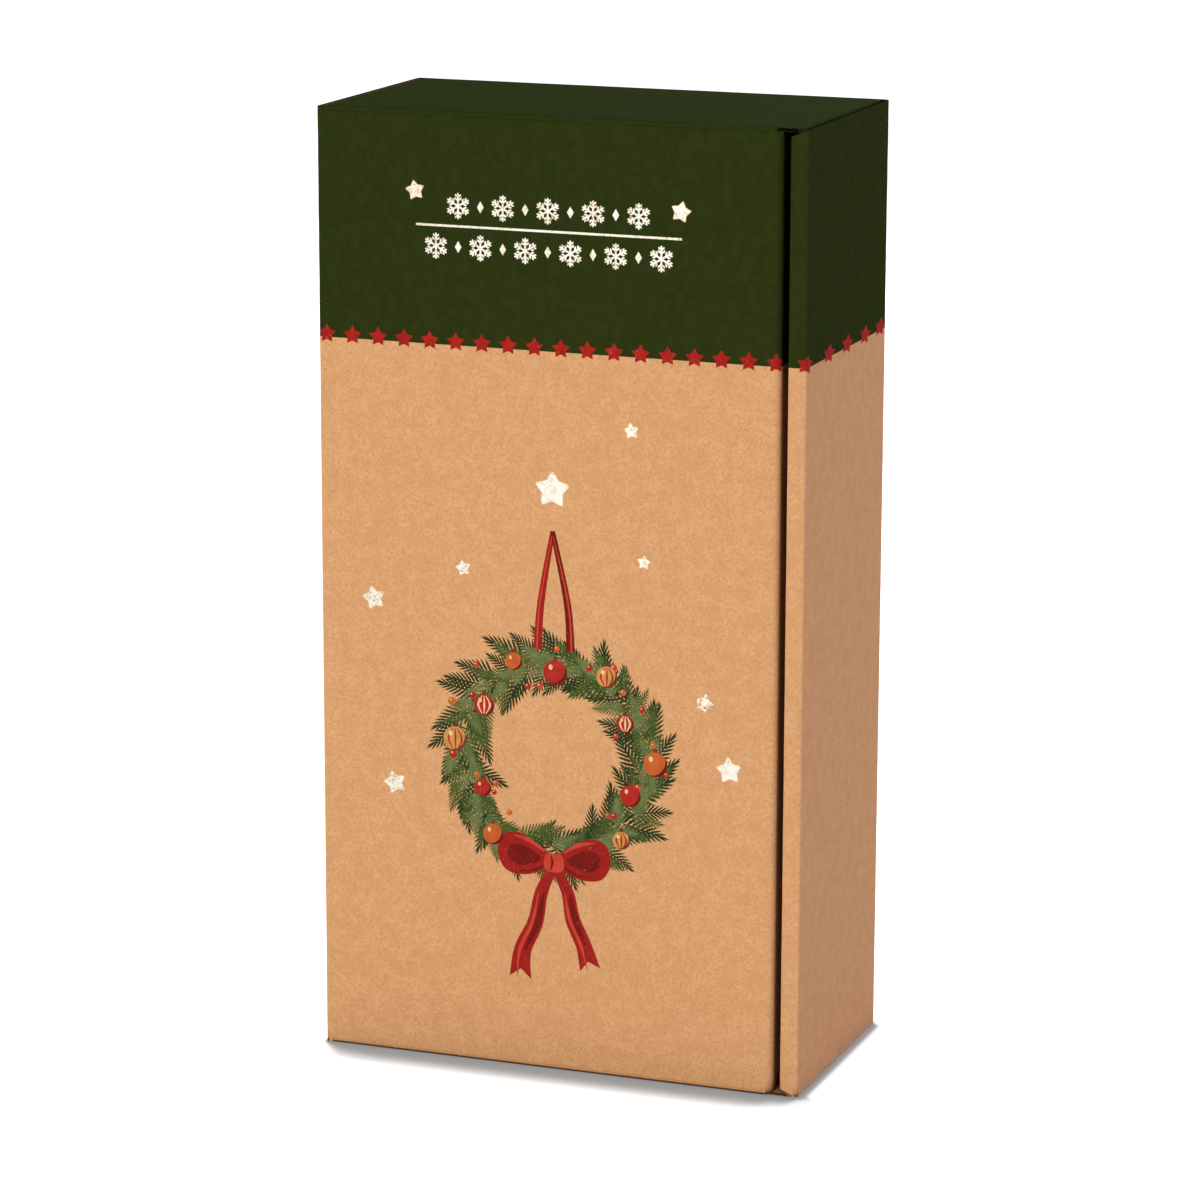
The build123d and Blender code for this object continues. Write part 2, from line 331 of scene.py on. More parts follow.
def board_finishes():
    """The printed outer liner, with shade painted into its colour deep in a slot, the bare liner and the cut
    edge.
    """
    bare = Finish("kraft_liner", 0.92, 0.0)
    colour, grain = kraft_paper(bare)
    # The bare liner is mixed half with a dark brown: painted shade for the inside of the box.
    bare.feed("Base Color", bare.mix(0.5, colour, inner_liner_shade))
    bare.relief(grain, 0.00005)

    def ink_band(finish):
        """1 where the band of ink is printed, with a slightly ragged edge."""
        bleed = (finish.noise(900, 2, offset=2.2) - 0.5) * 0.0002
        height = finish.along("Z", finish.place) + bleed
        return finish.ramp(height, band_edge - band_blur, band_edge + band_blur)

    cut = Finish("raw_board_edge", 0.95, 0.0)
    fuzz = cut.noise(1900, 2)
    torn = cut.ramp(fuzz, 0.35, 0.7)
    plain = cut.mix(torn, raw_edge_shade, raw_edge_colour)
    stained = cut.mix(torn, stained_edge_shade, stained_edge)
    cut.feed("Base Color", cut.mix(ink_band(cut), plain, stained))
    cut.relief(fuzz, 0.0001)

    outer = Finish("printed_liner", 0.9, 0.002)
    colour, grain = kraft_paper(outer)
    mottle = outer.noise(340, 4, (1, 1, 0.8), 1.7)
    ink = outer.mix(outer.ramp(mottle, 0.30, 0.70) * 0.7, green_ink, green_ink_light)
    ink = outer.mix(outer.ramp(grain, 0.50, 0.8) * 0.5, ink, green_ink_light)
    band = ink_band(outer)
    # Painted shade: little light reaches the bottom of the slot beside the lid, so the colour is painted near
    # black where a place is enclosed.
    openness = outer.out("ShaderNodeAmbientOcclusion", {"samples": 8}, {"Distance": slot_reach}, "AO")
    open_share = outer.ramp(openness, *slot_openness, slot_shade, 1.0)
    outer.feed("Base Color", outer.mix(open_share, black, outer.mix(band, colour, ink)))
    outer.feed("Roughness", 0.92 - band * 0.08)
    outer.relief(grain, 0.00005)
    return outer.material, bare.material, cut.material


printed_liner, kraft_liner, raw_edge = board_finishes()


def geometry_tree(name, inputs):
    """A geometry node group with a mesh input, the named inputs and a mesh output."""
    group = bpy.data.node_groups.new(name, "GeometryNodeTree")
    group.interface.new_socket("Geometry", in_out="INPUT", socket_type="NodeSocketGeometry")
    for label, (kind, default) in inputs.items():
        socket = group.interface.new_socket(label, in_out="INPUT", socket_type="NodeSocket" + kind)
        if default is not None:
            socket.default_value = default
    group.interface.new_socket("Geometry", in_out="OUTPUT", socket_type="NodeSocketGeometry")
    tree = Tree(group)
    return group, tree, tree.node("NodeGroupInput").outputs


def filled(tree, edges):
    """The flat face inside an outline of edges."""
    curve = tree.out("GeometryNodeMeshToCurve", None, {0: edges})
    return tree.out("GeometryNodeFillCurve", {"mode": "TRIANGLES"}, {0: curve})


def together(tree, *parts):
    """Those geometries as one."""
    join = tree.node("GeometryNodeJoinGeometry")
    for part in parts:
        tree.link(part, join.inputs[0])
    return join.outputs[0]


def moved(tree, geometry, x=0.0, z=0.0):
    """That geometry, shifted along x and z."""
    return tree.out("GeometryNodeTransform", None, {
        "Geometry": geometry, "Translation": tree.combine(x=x, z=z),
    })


def closed_slab(tree, face, depth):
    """Gives a flat face that thickness along z, as a closed solid."""
    raised = tree.out("GeometryNodeExtrudeMesh", {"mode": "FACES"}, {
        "Mesh": face, "Offset": tree.combine(z=1.0), "Offset Scale": depth, "Individual": False,
    })
    whole = together(tree, tree.out("GeometryNodeFlipFaces", None, {"Mesh": face}), raised)
    return tree.out("GeometryNodeMergeByDistance", None, {"Geometry": whole, "Distance": 1e-6})


def plain_mesh(tree, geometry):
    """Turns copies of a shape into a mesh of their own."""
    return tree.out("GeometryNodeRealizeInstances", None, {0: geometry})


def painted(tree, geometry, finish, chosen=True):
    """Gives the chosen faces that finish."""
    return tree.out("GeometryNodeSetMaterial", None, {
        "Geometry": geometry, "Selection": chosen, "Material": finish,
    })


def corrugated_board_tree():
    """Outline edges in, corrugated board out. Its printed face lies at z = 0 and its flutes along y."""
    group, tree, given = geometry_tree(
        "corrugated_board",
        {
            "thickness": ("Float", thickness * mm),
            "liner": ("Float", liner * mm),
            "medium": ("Float", medium * mm),
            "flute pitch": ("Float", flute_pitch * mm),
            "steps": ("Float", flute_steps),
            "inside": ("Float", 0.0),
            "outer finish": ("Material", None),
            "inner finish": ("Material", None),
            "edge finish": ("Material", None),
        },
    )
    deep, skin, core = (Value(tree, given[name]) for name in ("thickness", "liner", "medium"))
    pitch, inside = Value(tree, given["flute pitch"]), Value(tree, given["inside"])
    wall_height, edge_gap, stub, hair = 0.002, 0.0002, 0.0005, 0.00005

    face = filled(tree, given["Geometry"])
    outer_liner = closed_slab(tree, moved(tree, face, z=0 - skin), skin)
    inner_liner = closed_slab(tree, moved(tree, face, z=0 - deep), skin)

    # Each column of the medium runs both ways until a ray meets the outline's wall.
    wall = tree.out("GeometryNodeExtrudeMesh", {"mode": "EDGES"}, {
        "Mesh": moved(tree, given["Geometry"], z=-wall_height / 2),
        "Offset": tree.combine(z=1.0),
        "Offset Scale": wall_height,
    })
    bounds = tree.node("GeometryNodeBoundBox", None, {0: face})
    least, most = (tree.along("X", bounds.outputs[name]) for name in ("Min", "Max"))
    width = most - least - 2 * edge_gap
    columns = (width / pitch * given["steps"]).maths("CEIL")
    sheet = tree.out("GeometryNodeMeshGrid", None, {
        "Size X": width, "Size Y": wall_height, "Vertices X": columns + 1, "Vertices Y": 2,
    })
    sheet = moved(tree, sheet, x=(most + least) / 2)
    place = tree.out("GeometryNodeInputPosition")
    across, side = (tree.along(axis, place) for axis in "XY")
    way = side.maths("SIGN")
    ray = tree.node("GeometryNodeRaycast", None, {
        "Target Geometry": wall,
        "Source Position": tree.combine(across, inside),
        "Ray Direction": tree.combine(y=way),
        "Ray Length": 1.0,
    })
    reached = tree.along("Y", ray.outputs["Hit Position"])
    hit = Value(tree, ray.outputs["Is Hit"])
    end = reached * hit + (inside + way * stub) * (1 - hit)
    swing = (deep - 2 * skin - core) / 2
    wave = swing * (across / pitch * tau).maths("SINE") - deep / 2 - core / 2
    bent = {"Geometry": sheet, "Position": tree.combine(across, end, wave)}
    flutes = closed_slab(tree, tree.out("GeometryNodeSetPosition", None, bent), core)

    whole = plain_mesh(tree, together(tree, outer_liner, inner_liner, flutes))
    facing = tree.along("Z", tree.out("GeometryNodeInputNormal"))
    level = tree.along("Z", tree.out("GeometryNodeInputPosition"))
    on_top = (facing > 0.9) * (level > -hair)
    beneath = (facing < -0.9) * (level < hair - deep)
    whole = painted(tree, whole, given["edge finish"])
    whole = painted(tree, whole, given["outer finish"], on_top)
    whole = painted(tree, whole, given["inner finish"], beneath)
    tree.node("NodeGroupOutput", None, {0: whole})
    return group


def outline(*corners, bends=6):
    """A closed outline in millimetres. A corner is (a, b) or, where it is rounded, (a, b, radius)."""
    points = []
    for index, corner in enumerate(corners):
        here = Vector(corner[:2])
        if len(corner) == 2:
            points.append(here)
            continue
        before = (Vector(corners[index - 1][:2]) - here).normalized()
        after = (Vector(corners[(index + 1) % len(corners)][:2]) - here).normalized()
        half_turn = before.angle(after) / 2
        centre = here + (before + after).normalized() * corner[2] / sin(half_turn)
        first = here + before * corner[2] / tan(half_turn) - centre
        last = here + after * corner[2] / tan(half_turn) - centre
        swept = first.angle_signed(last)
        for step in range(bends + 1):
            points.append(centre + Matrix.Rotation(-swept * step / bends, 2) @ first)
    return points


def rectangle(low_a, low_b, high_a, high_b):
    """Outline of an upright rectangle, from its lowest and its highest corner."""
    return outline((low_a, low_b), (high_a, low_b), (high_a, high_b), (low_a, high_b))


def edge_mesh(name, loops):
    """A mesh of closed loops of edges, from flat points in metres."""
    points, edges = [], []
    for loop in loops:
        first = len(points)
        points += [(p[0], p[1], 0) for p in loop]
        edges += [(first + i, first + (i + 1) % len(loop)) for i in range(len(loop))]
    mesh = bpy.data.meshes.new(name)
    mesh.from_pydata(points, edges, [])
    return mesh


def run_nodes(name, mesh, group, settings):
    """Runs a node group on a mesh and gives an object that holds the result as a plain mesh."""
    piece = bpy.data.objects.new(name, mesh)
    scene.collection.objects.link(piece)
    modifier = piece.modifiers.new(name, "NODES")
    modifier.node_group = group
    for socket in group.interface.items_tree:
        if socket.name in settings:
            modifier[socket.identifier] = settings[socket.name]
    made = piece.evaluated_get(bpy.context.evaluated_depsgraph_get())
    result = bpy.data.meshes.new_from_object(made)
    piece.modifiers.clear()
    piece.data = result
    result.name = name
    return piece


axis_of = {"x": Vector((1, 0, 0)), "y": Vector((0, 1, 0)), "z": Vector((0, 0, 1))}
corrugated_board = corrugated_board_tree()


def panel(name, loops, plane, outward, level, flutes, body, node, inside=None, finishes=None,
          depth=None):
    """Corrugated board inside those outlines, with its outer face at a level of the third axis.

    plane names the two axes of the outlines, outward is the outer face's direction along the
    third, flutes the axis that the flutes follow, and inside a place along it within every column.
    """
    third = ({"x", "y", "z"} - set(plane)).pop()
    out, along = axis_of[third] * outward, axis_of[flutes]
    across = along.cross(out)
    turn = Matrix((across, along, out)).transposed()
    flat = [
        [turn.transposed() @ ((axis_of[plane[0]] * a + axis_of[plane[1]] * b) * mm) for a, b in loop]
        for loop in loops
    ]
    if inside is None:
        ends = [p[plane.index(flutes)] for loop in loops[:1] for p in loop]
        inside = (min(ends) + max(ends)) / 2
    outer_finish, inner_finish = finishes or (printed_liner, kraft_liner)
    piece = run_nodes(name, edge_mesh(name, flat), corrugated_board, {
        "thickness": (depth or thickness) * mm, "inside": inside * mm,
        "outer finish": outer_finish, "inner finish": inner_finish, "edge finish": raw_edge,
    })
    piece.data.transform(Matrix.Translation(axis_of[third] * level * mm) @ turn.to_4x4())
    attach(piece, body)
    if node:
        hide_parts(node)
    return piece


tab_slot_x, tab_slot_width, tab_slot_length, tab_slot_heights = 88.8, 2.2, 45.6, (90, 270)
inset = board + fold_reach
slots = [
    rectangle(tab_slot_x - tab_slot_width / 2, z - tab_slot_length / 2,
              tab_slot_x + tab_slot_width / 2, z + tab_slot_length / 2)
    for z in tab_slot_heights
]
panel(
    "back_board",
    [rectangle(left + inset, inset, right - inset, top - inset), *slots],
    "xz", 1, back - ink_room, "z", "case", "back_panel",
)


# The walls folded up from the long edges of the back panel: the hinge wall on the left and
# the outer layer of the double wall on the right, scored and bent over a wavy fold.
wave_lengths = (7.0, 17.0, 43.0)


def fold(name, section, runs, start, end, body, ends=None, finishes=None, wobble=0.07, spacing=5,
         end_finish=2):
    """A strip of board bent along a crease, from a closed section of (a, b, finish, wavy) points.

    The section lies in the two axes other than runs, and each point's finish is that of the side
    up to the next point. Wavy points move towards the section's middle and back along the crease.
    """
    others = [axis for axis in "xyz" if axis != runs]
    middle = Vector((sum(p[0] for p in section), sum(p[1] for p in section))) / len(section)
    chance = random.Random(name)
    waves = [(length, chance.uniform(0, tau)) for length in wave_lengths]
    rings = ceil((end - start) / spacing) + 1
    mesh = bmesh.new()
    grid = []
    for ring in range(rings):
        share = ring / (rings - 1)
        at = start + (end - start) * share
        dents = [0.5 + 0.5 * sin(tau * at / length + phase) for length, phase in waves]
        dent = wobble * sum(dents) / len(waves)
        row = []
        for a, b, _, wavy in section:
            along = at
            if ends:
                low_cut, high_cut = ends(a, b)
                along = start + low_cut + (end - high_cut - start - low_cut) * share
            if wavy:
                inward = (middle - Vector((a, b))).normalized() * dent * wavy
                a, b = a + inward.x, b + inward.y
            place = axis_of[others[0]] * a + axis_of[others[1]] * b + axis_of[runs] * along
            row.append(mesh.verts.new(place * mm))
        grid.append(row)
    for one, two in zip(grid, grid[1:]):
        for i, (a, b, finish, _) in enumerate(section):
            j = (i + 1) % len(section)
            face = mesh.faces.new((one[i], one[j], two[j], two[i]))
            face.material_index = finish
            face.smooth = bool(section[i][3] and section[j][3])
    for row in (grid[0], grid[-1]):
        mesh.faces.new(row).material_index = end_finish
    bmesh.ops.recalc_face_normals(mesh, faces=mesh.faces)
    data = bpy.data.meshes.new(name)
    mesh.to_mesh(data)
    mesh.free()
    for finish in (*(finishes or (printed_liner, kraft_liner)), raw_edge):
        data.materials.append(finish)
    piece = bpy.data.objects.new(name, data)
    scene.collection.objects.link(piece)
    if isinstance(body, str):
        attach(piece, body)
    else:
        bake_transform(piece)
    return piece


def elbow(corner, towards_a, towards_b, reach_a=fold_reach, reach_b=fold_reach, radius=None, depth=None,
          groove=0.06):
    """Section of a right-angled fold round an inner corner, with a scored groove at each end of the bend."""
    depth = thickness if depth is None else depth
    radius = depth if radius is None else radius
    groove_width, steps = 0.3, 7
    swell_start, swell_out, swell_in = 0.7 * fold_reach, 0.35, 0.1
    corner, towards_a, towards_b = Vector(corner), Vector(towards_a), Vector(towards_b)
    start = radius - depth
    points = [
        (reach_a, -depth, 0, 0),
        (start + 2 * groove_width, -depth, 0, 0),
        (start + groove_width, groove - depth, 0, 0),
    ]
    for step in range(steps + 1):
        turn = radians(90 * step / steps)
        points.append((start - radius * sin(turn), start - radius * cos(turn), 0, 1))
    points += [
        (groove - depth, start + groove_width, 0, 0),
        (-depth, start + 2 * groove_width, 0, 0),
        (-depth, reach_b, 2, 0),
        (0, reach_b, 1, 0),
        (0, swell_start, 1, 0),
        (swell_in, swell_out, 1, 0),
        (swell_out, swell_in, 1, 0),
        (swell_start, 0, 1, 0),
        (reach_a, 0, 2, 0),
    ]
    return [(*(corner + towards_a * a + towards_b * b), finish, wavy) for a, b, finish, wavy in points]


left_low, left_high = box_mm("left_wall")
outer_low, outer_high = box_mm("right_wall_outer")
wall_front = front + inset
wall_back = back - inset
for name, wall, level, outward, low_z, high_z in (
    ("left_board", "left_wall", left + ink_room, -1, left_low.z, left_high.z),
    ("right_outer_board", "right_wall_outer", right - ink_room, 1, outer_low.z, outer_high.z),
):
    panel(
        name, [rectangle(wall_front, low_z, wall_back, high_z)], "yz", outward, level, "z",
        "case", wall,
    )
fold("back_left_fold", elbow((left + board, back - board), (1, 0), (0, -1)), "z",
     left_low.z, left_high.z, "case")
fold("back_right_fold", elbow((right - board, back - board), (-1, 0), (0, -1)), "z",
     outer_low.z, outer_high.z, "case")


# The double wall on the right turns back on itself over a narrow ridge at the front. Its
# inner layer comes down inside and locks two tabs into slots of the back panel.
ridge_low = box_mm("right_wall_ridge")[0]
inner_low, inner_high = box_mm("right_wall_inner")
ridge_slant = (inner_low.z - outer_low.z) / (right - ridge_low.x)
ridge_radius = 0.7


def ridge_ends(a, b):
    """The ridge's ends slope from the outer layer to the shorter inner one."""
    cut = ridge_slant * (right - a)
    return cut, cut


outer_bend = elbow((right - board, front + board), (0, 1), (-1, 0), reach_b=0)
inner_bend = elbow((ridge_low.x + board, front + board), (1, 0), (0, 1), reach_a=0, radius=ridge_radius)
# The outer faces of both bends in turn, then their inner faces on the way back.
outer_bend_end = next(i for i, p in enumerate(outer_bend) if p[2] == 2)
ridge_section = outer_bend[:outer_bend_end] + inner_bend[1:-3] + outer_bend[-4:]
fold("ridge_fold", ridge_section, "z", outer_low.z, outer_high.z, "case", ends=ridge_ends)
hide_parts("right_wall_ridge")

tab_length = 45
tab_root, tab_tip = inner_high.y - board, inner_high.y - ink_room
inner_outline = [(wall_front, inner_low.z), (tab_root, inner_low.z)]
for z in tab_slot_heights:
    low_end, high_end = z - tab_length / 2, z + tab_length / 2
    inner_outline += [(tab_root, low_end), (tab_tip, low_end), (tab_tip, high_end), (tab_root, high_end)]
inner_outline += [(tab_root, inner_high.z), (wall_front, inner_high.z)]
panel(
    "right_inner_board", [outline(*inner_outline)], "yz", -1, inner_low.x + ink_room, "z",
    "case", "right_wall_inner",
)


# The top and bottom walls fold in from the back panel, and a corner flap folds from each of
# their ends. The flaps lie against the hinge wall and inside the double wall.
flap_taper, flap_corner = 3, 8
for level, wall_z, inward in (("bottom", 0, 1), ("top", top, -1)):
    wall_low, wall_high = box_mm(f"{level}_wall")
    inner_z = wall_z + inward * board
    panel(
        f"{level}_board",
        [rectangle(wall_low.x + inset, wall_low.y, wall_high.x - inset, back - inset)],
        "xy", -inward, wall_z + inward * ink_room, "y",
        "case", f"{level}_wall",
    )
    fold(f"back_{level}_fold", elbow((back - board, inner_z), (0, inward), (-1, 0)), "x",
         left + board, right - board, "case")
    for side, outward in (("left", -1), ("right", 1)):
        flap_low, flap_high = box_mm(f"{level}_{side}_corner_flap")
        outer_x = flap_low.x if outward < 0 else flap_high.x
        tip_z = flap_high.z if inward > 0 else flap_low.z
        root_z = inner_z + inward * fold_reach
        panel(
            f"{level}_{side}_flap_board",
            [outline(
                (flap_low.y, root_z), (flap_high.y, root_z),
                (flap_high.y - flap_taper, tip_z, flap_corner), (flap_low.y + flap_taper, tip_z, flap_corner),
            )],
            "yz", outward, outer_x - outward * ink_room, "y",
            "case", f"{level}_{side}_corner_flap",
        )
        fold(f"{level}_{side}_flap_fold",
             elbow((outer_x - outward * board, inner_z), (-outward, 0), (0, inward)), "y",
             wall_low.y, back - inset, "case")


# The lid hangs on the fold at its left long edge, and has its own folds at the right, top
# and bottom.
lid_low, lid_high = box_mm("lid_panel")
tuck_low, tuck_high = box_mm("lid_tuck_flap")
hinge_corner = (left + board, front + board)
blend_reach = 0.6
hinge_blend = [
    ((hinge_corner[0] + way * blend_reach) * mm, (hinge_corner[1] - way * blend_reach) * mm, 0)
    for way in (-1, 1)
]
fold("hinge_fold", elbow(hinge_corner, (0, 1), (1, 0)), "z",
     lid_low.z, lid_high.z, ("case", "lid", *hinge_blend))

tuck_radius, tuck_reach = 2.6, 2.3
tuck_corner = (tuck_high.x - board, front + board)
tuck_centre = (tuck_corner[0] + thickness - tuck_radius, tuck_corner[1] - thickness + tuck_radius)
lid_inside = front + board
dust_root_z, dust_taper, dust_corner = 4.3, 6, 6
dust_fold_left, dust_fold_right = left + inset, tuck_corner[0] - tuck_reach
lid_edge, bevel = ink_room + 0.02, 1.1
tuck_root_cut, tuck_root_slant = 2.0, 0.55
bevel_line = ((0.0, 1.85), (0.2, 1.55), (0.04, 1.25), (0.18, 1.0), (0.9, 0.12), (1.15, 0.0))
crease_dip, crease_gap, crease_end = 0.25, 0.05, 0.35


def tuck_fold_ends(x, y):
    """Bevels the lid's end outside, and slants the tuck flap's root, clear of the top and bottom walls."""
    if y > lid_inside + crease_gap:
        cut = tuck_root_cut + tuck_root_slant * (y - lid_inside)
        return cut, cut
    across, along = max(x - tuck_centre[0], 0), max(tuck_centre[1] - y, 0)
    depth_inside = tuck_radius - sqrt(across ** 2 + along ** 2)
    cut = max(bevel - max(depth_inside, 0), 0)
    return cut, cut


tuck_blend = [
    ((tuck_corner[0] + way * blend_reach) * mm, (tuck_corner[1] + way * blend_reach) * mm, 0)
    for way in (-1, 1)
]
fold("tuck_fold", elbow(tuck_corner, (-1, 0), (0, 1), tuck_reach, tuck_reach, tuck_radius, groove=0), "z",
     lid_edge, top - lid_edge, ("lid", "tuck_flap", *tuck_blend),
     ends=tuck_fold_ends, end_finish=0)
root_y = front + board + tuck_reach
root_z = lid_edge + tuck_fold_ends(tuck_high.x, root_y)[0]
tip_z = tuck_low.z + tuck_high.y - front - board / 2
tuck_outline = outline(
    (root_y, root_z), (tuck_high.y, tip_z),
    (tuck_high.y, tuck_low.z + tuck_high.z - tip_z), (root_y, tuck_low.z + tuck_high.z - root_z),
)
panel(
    "tuck_flap_board", [tuck_outline], "yz", 1, tuck_high.x - ink_room, "z",
    "tuck_flap", "lid_tuck_flap",
)


def dust_fold_ends(y, z):
    """Slants the root of a dust flap behind the lid."""
    cut = max(y - lid_inside, 0)
    return cut, cut


for level, inward in (("bottom", 1), ("top", -1)):
    flap_low, flap_high = box_mm(f"lid_{level}_flap")
    edge_z = lid_low.z if inward > 0 else lid_high.z
    outer_z = flap_low.z if inward > 0 else flap_high.z
    edge_top = (0 if inward > 0 else top) + inward * lid_edge
    face = front + ink_room
    section = [(face, edge_z + inward * dust_root_z, 0, 0)]
    section += [(face + y, edge_top + inward * z, 0, 0) for y, z in bevel_line]
    section += [
        (lid_inside - 0.2, edge_top, 0, 0),
        (lid_inside + 0.02, edge_top + inward * crease_dip, 0, 0),
        (lid_inside + crease_gap, outer_z + inward * (ink_room - crease_dip), 0, 0),
        (lid_inside + crease_dip, outer_z + inward * ink_room, 0, 0),
        (lid_inside + fold_reach, outer_z + inward * ink_room, 2, 0),
        (lid_inside + fold_reach, outer_z + inward * board, 1, 0),
        (lid_inside + crease_end, outer_z + inward * board, 1, 0),
        (lid_inside + crease_gap, outer_z + inward * (board + crease_dip), 1, 0),
        (lid_inside, outer_z + inward * (board + 0.6), 1, 0),
        (lid_inside, edge_z + inward * dust_root_z, 2, 0),
    ]
    blend_line = [(0, (lid_inside + y) * mm, outer_z * mm) for y in (crease_gap, 1.0)]
    fold(f"lid_{level}_fold", section, "x", dust_fold_left, dust_fold_right,
         ("lid", f"{level}_flap", *blend_line), ends=dust_fold_ends)

    # The flap narrows at 45 degrees from its root, and less steeply from there to its tip.
    taper = dust_taper / (flap_high.y - lid_inside)
    left_run = (flap_low.x - dust_fold_left) / (1 - taper)
    right_run = (dust_fold_right - flap_high.x) / (1 - taper)
    panel(
        f"lid_{level}_flap_board",
        [outline(
            (dust_fold_left + fold_reach, lid_inside + fold_reach),
            (dust_fold_right - fold_reach, lid_inside + fold_reach),
            (dust_fold_right - right_run, lid_inside + right_run),
            (flap_high.x - dust_taper, flap_high.y, dust_corner),
            (flap_low.x + dust_taper, flap_high.y, dust_corner),
            (dust_fold_left + left_run, lid_inside + left_run),
        )],
        "xy", -inward, outer_z + inward * ink_room, "y",
        f"{level}_flap", f"lid_{level}_flap", inside=lid_inside + fold_reach + 0.3,
    )
panel(
    "lid_board",
    [rectangle(left + inset, lid_low.z + dust_root_z, tuck_corner[0] - tuck_reach, lid_high.z - dust_root_z)],
    "xz", -1, front + ink_room, "z", "lid", "lid_panel",
)


# The insert, from two sheets of plain board: a shelf that holds two bottle necks, with a panel
# up the back and a lip at each side, and a divider with a flange, between the bottles.
insert_finish = Finish("insert_liner", 0.92, 0.02)
insert_colour, insert_grain = kraft_paper(insert_finish)
insert_finish.feed("Base Color", insert_finish.mix(0.25, insert_colour, kraft_dark))
insert_finish.relief(insert_grain, 0.00006)
insert_pair = (insert_finish.material, insert_finish.material)

shelf_low, shelf_high = box_mm("neck_shelf")
flange_low, flange_high = box_mm("divider_flange")
divider_low, divider_high = box_mm("divider")
tuck_relief_x, tuck_relief_y = 66.5, -17.35
neck_radius, neck_places = 17, (-49.125, 39.425)
divider_slot_y, divider_slot_length, divider_slot_width = 12.9, 36.6, 2.2
lips = {side: box_mm(f"shelf_{side}_lip") for side in ("left", "right")}


def insert_panel(name, loops, plane, outward, level, flutes, node, inside=None):
    """A panel of the insert, plain on both faces."""
    return panel(name, loops, plane, outward, level, flutes, "case", node,
                 inside=inside, finishes=insert_pair, depth=board)


def insert_fold(name, corner, towards_a, towards_b, runs, start, end):
    """A fold between two panels of the insert."""
    return fold(name, elbow(corner, towards_a, towards_b, depth=board), runs, start, end,
                "case", finishes=insert_pair)


def lip_notch(x, inner_x, first, last):
    """The step in the shelf's edge where the fold of a lip takes over."""
    return [(x, first), (inner_x, first), (inner_x, last), (x, last)]


shelf_corners = [(shelf_low.x, shelf_low.y)]
for x in neck_places:
    shelf_corners += [
        (x - neck_radius, shelf_low.y), (x - neck_radius, neck_radius, neck_radius),
        (x + neck_radius, neck_radius, neck_radius), (x + neck_radius, shelf_low.y),
    ]
shelf_corners += [(tuck_relief_x, shelf_low.y), (tuck_relief_x, tuck_relief_y), (shelf_high.x, tuck_relief_y)]
lip_low, lip_high = lips["right"]
shelf_corners += lip_notch(shelf_high.x, shelf_high.x - inset, lip_low.y, lip_high.y)
shelf_corners += [(shelf_high.x, shelf_high.y - inset), (shelf_low.x, shelf_high.y - inset)]
lip_low, lip_high = lips["left"]
shelf_corners += lip_notch(shelf_low.x, shelf_low.x + inset, lip_high.y, lip_low.y)
divider_x = (divider_low.x + divider_high.x) / 2
divider_slot = rectangle(
    divider_x - divider_slot_width / 2, divider_slot_y - divider_slot_length / 2,
    divider_x + divider_slot_width / 2, divider_slot_y + divider_slot_length / 2,
)
insert_panel("shelf_board", [outline(*shelf_corners, bends=14), divider_slot], "xy", 1, shelf_high.z, "y",
             "neck_shelf", inside=shelf_high.y - inset - 1)
shelf_back_top = box_mm("shelf_back_panel")[1].z
insert_panel(
    "shelf_back_board",
    [rectangle(shelf_low.x, shelf_high.z + fold_reach, shelf_high.x, shelf_back_top)],
    "xz", 1, shelf_high.y, "z", "shelf_back_panel",
)
insert_fold("shelf_back_fold", (shelf_high.y - board, shelf_high.z), (-1, 0), (0, 1), "x",
            shelf_low.x, shelf_high.x)
for side, outward, x in (("left", -1, shelf_low.x), ("right", 1, shelf_high.x)):
    lip_low, lip_high = lips[side]
    insert_panel(
        f"shelf_{side}_lip_board",
        [rectangle(lip_low.y, lip_low.z, lip_high.y, shelf_low.z - fold_reach)],
        "yz", outward, x, "y", f"shelf_{side}_lip",
    )
    insert_fold(f"shelf_{side}_lip_fold", (x - outward * board, shelf_low.z), (-outward, 0), (0, -1), "y",
                lip_low.y, lip_high.y)

divider_relief_y, divider_relief_z, divider_tab, flute_middle = -6.0, 27.04, 18, 150
divider_corners = [
    (divider_low.y, shelf_low.z), (divider_low.y, divider_relief_z), (divider_relief_y, divider_relief_z),
    (divider_relief_y, divider_low.z), (divider_high.y, divider_low.z), (divider_high.y, flange_low.z),
    (divider_high.y - inset, flange_low.z), (divider_high.y - inset, flange_high.z),
    (divider_high.y, flange_high.z), (divider_high.y, shelf_low.z),
    (divider_slot_y + divider_tab, shelf_low.z), (divider_slot_y + divider_tab, divider_high.z),
    (divider_slot_y - divider_tab, divider_high.z), (divider_slot_y - divider_tab, shelf_low.z),
]
insert_panel("divider_board", [outline(*divider_corners)], "yz", -1, divider_low.x, "z", "divider",
             inside=flute_middle)
insert_panel(
    "divider_flange_board",
    [rectangle(flange_low.x + fold_reach, flange_low.z, flange_high.x, flange_high.z)],
    "xz", 1, flange_high.y, "z", "divider_flange",
)
insert_fold("divider_fold", (flange_low.x, flange_high.y - board), (0, -1), (1, 0), "z",
            flange_low.z, flange_high.z)


# The row of red stars along the band's lower edge, printed in opaque red ink. It runs over the
# folds at the hinge, at the lid's tuck and at the ridge, and on round the sides and the back.
ink_sink = 0.02


def ink_finish(name, colour, second, roughness=0.62):
    """Opaque printing ink: two close tones in clouds, with the paper's grain in its relief."""
    ink = Finish(name, roughness, 0.02)
    clouds = ink.noise(260, 3, offset=4.4)
    grain = ink.noise(900, 3, offset=7.7)
    tone = ink.mix(ink.ramp(clouds, 0.35, 0.65), (*colour, 1), (*second, 1))
    ink.feed("Base Color", ink.mix(ink.ramp(grain, 0.62, 0.8) * 0.35, tone, kraft_dark))
    ink.relief(grain, 0.00005)
    return ink.material


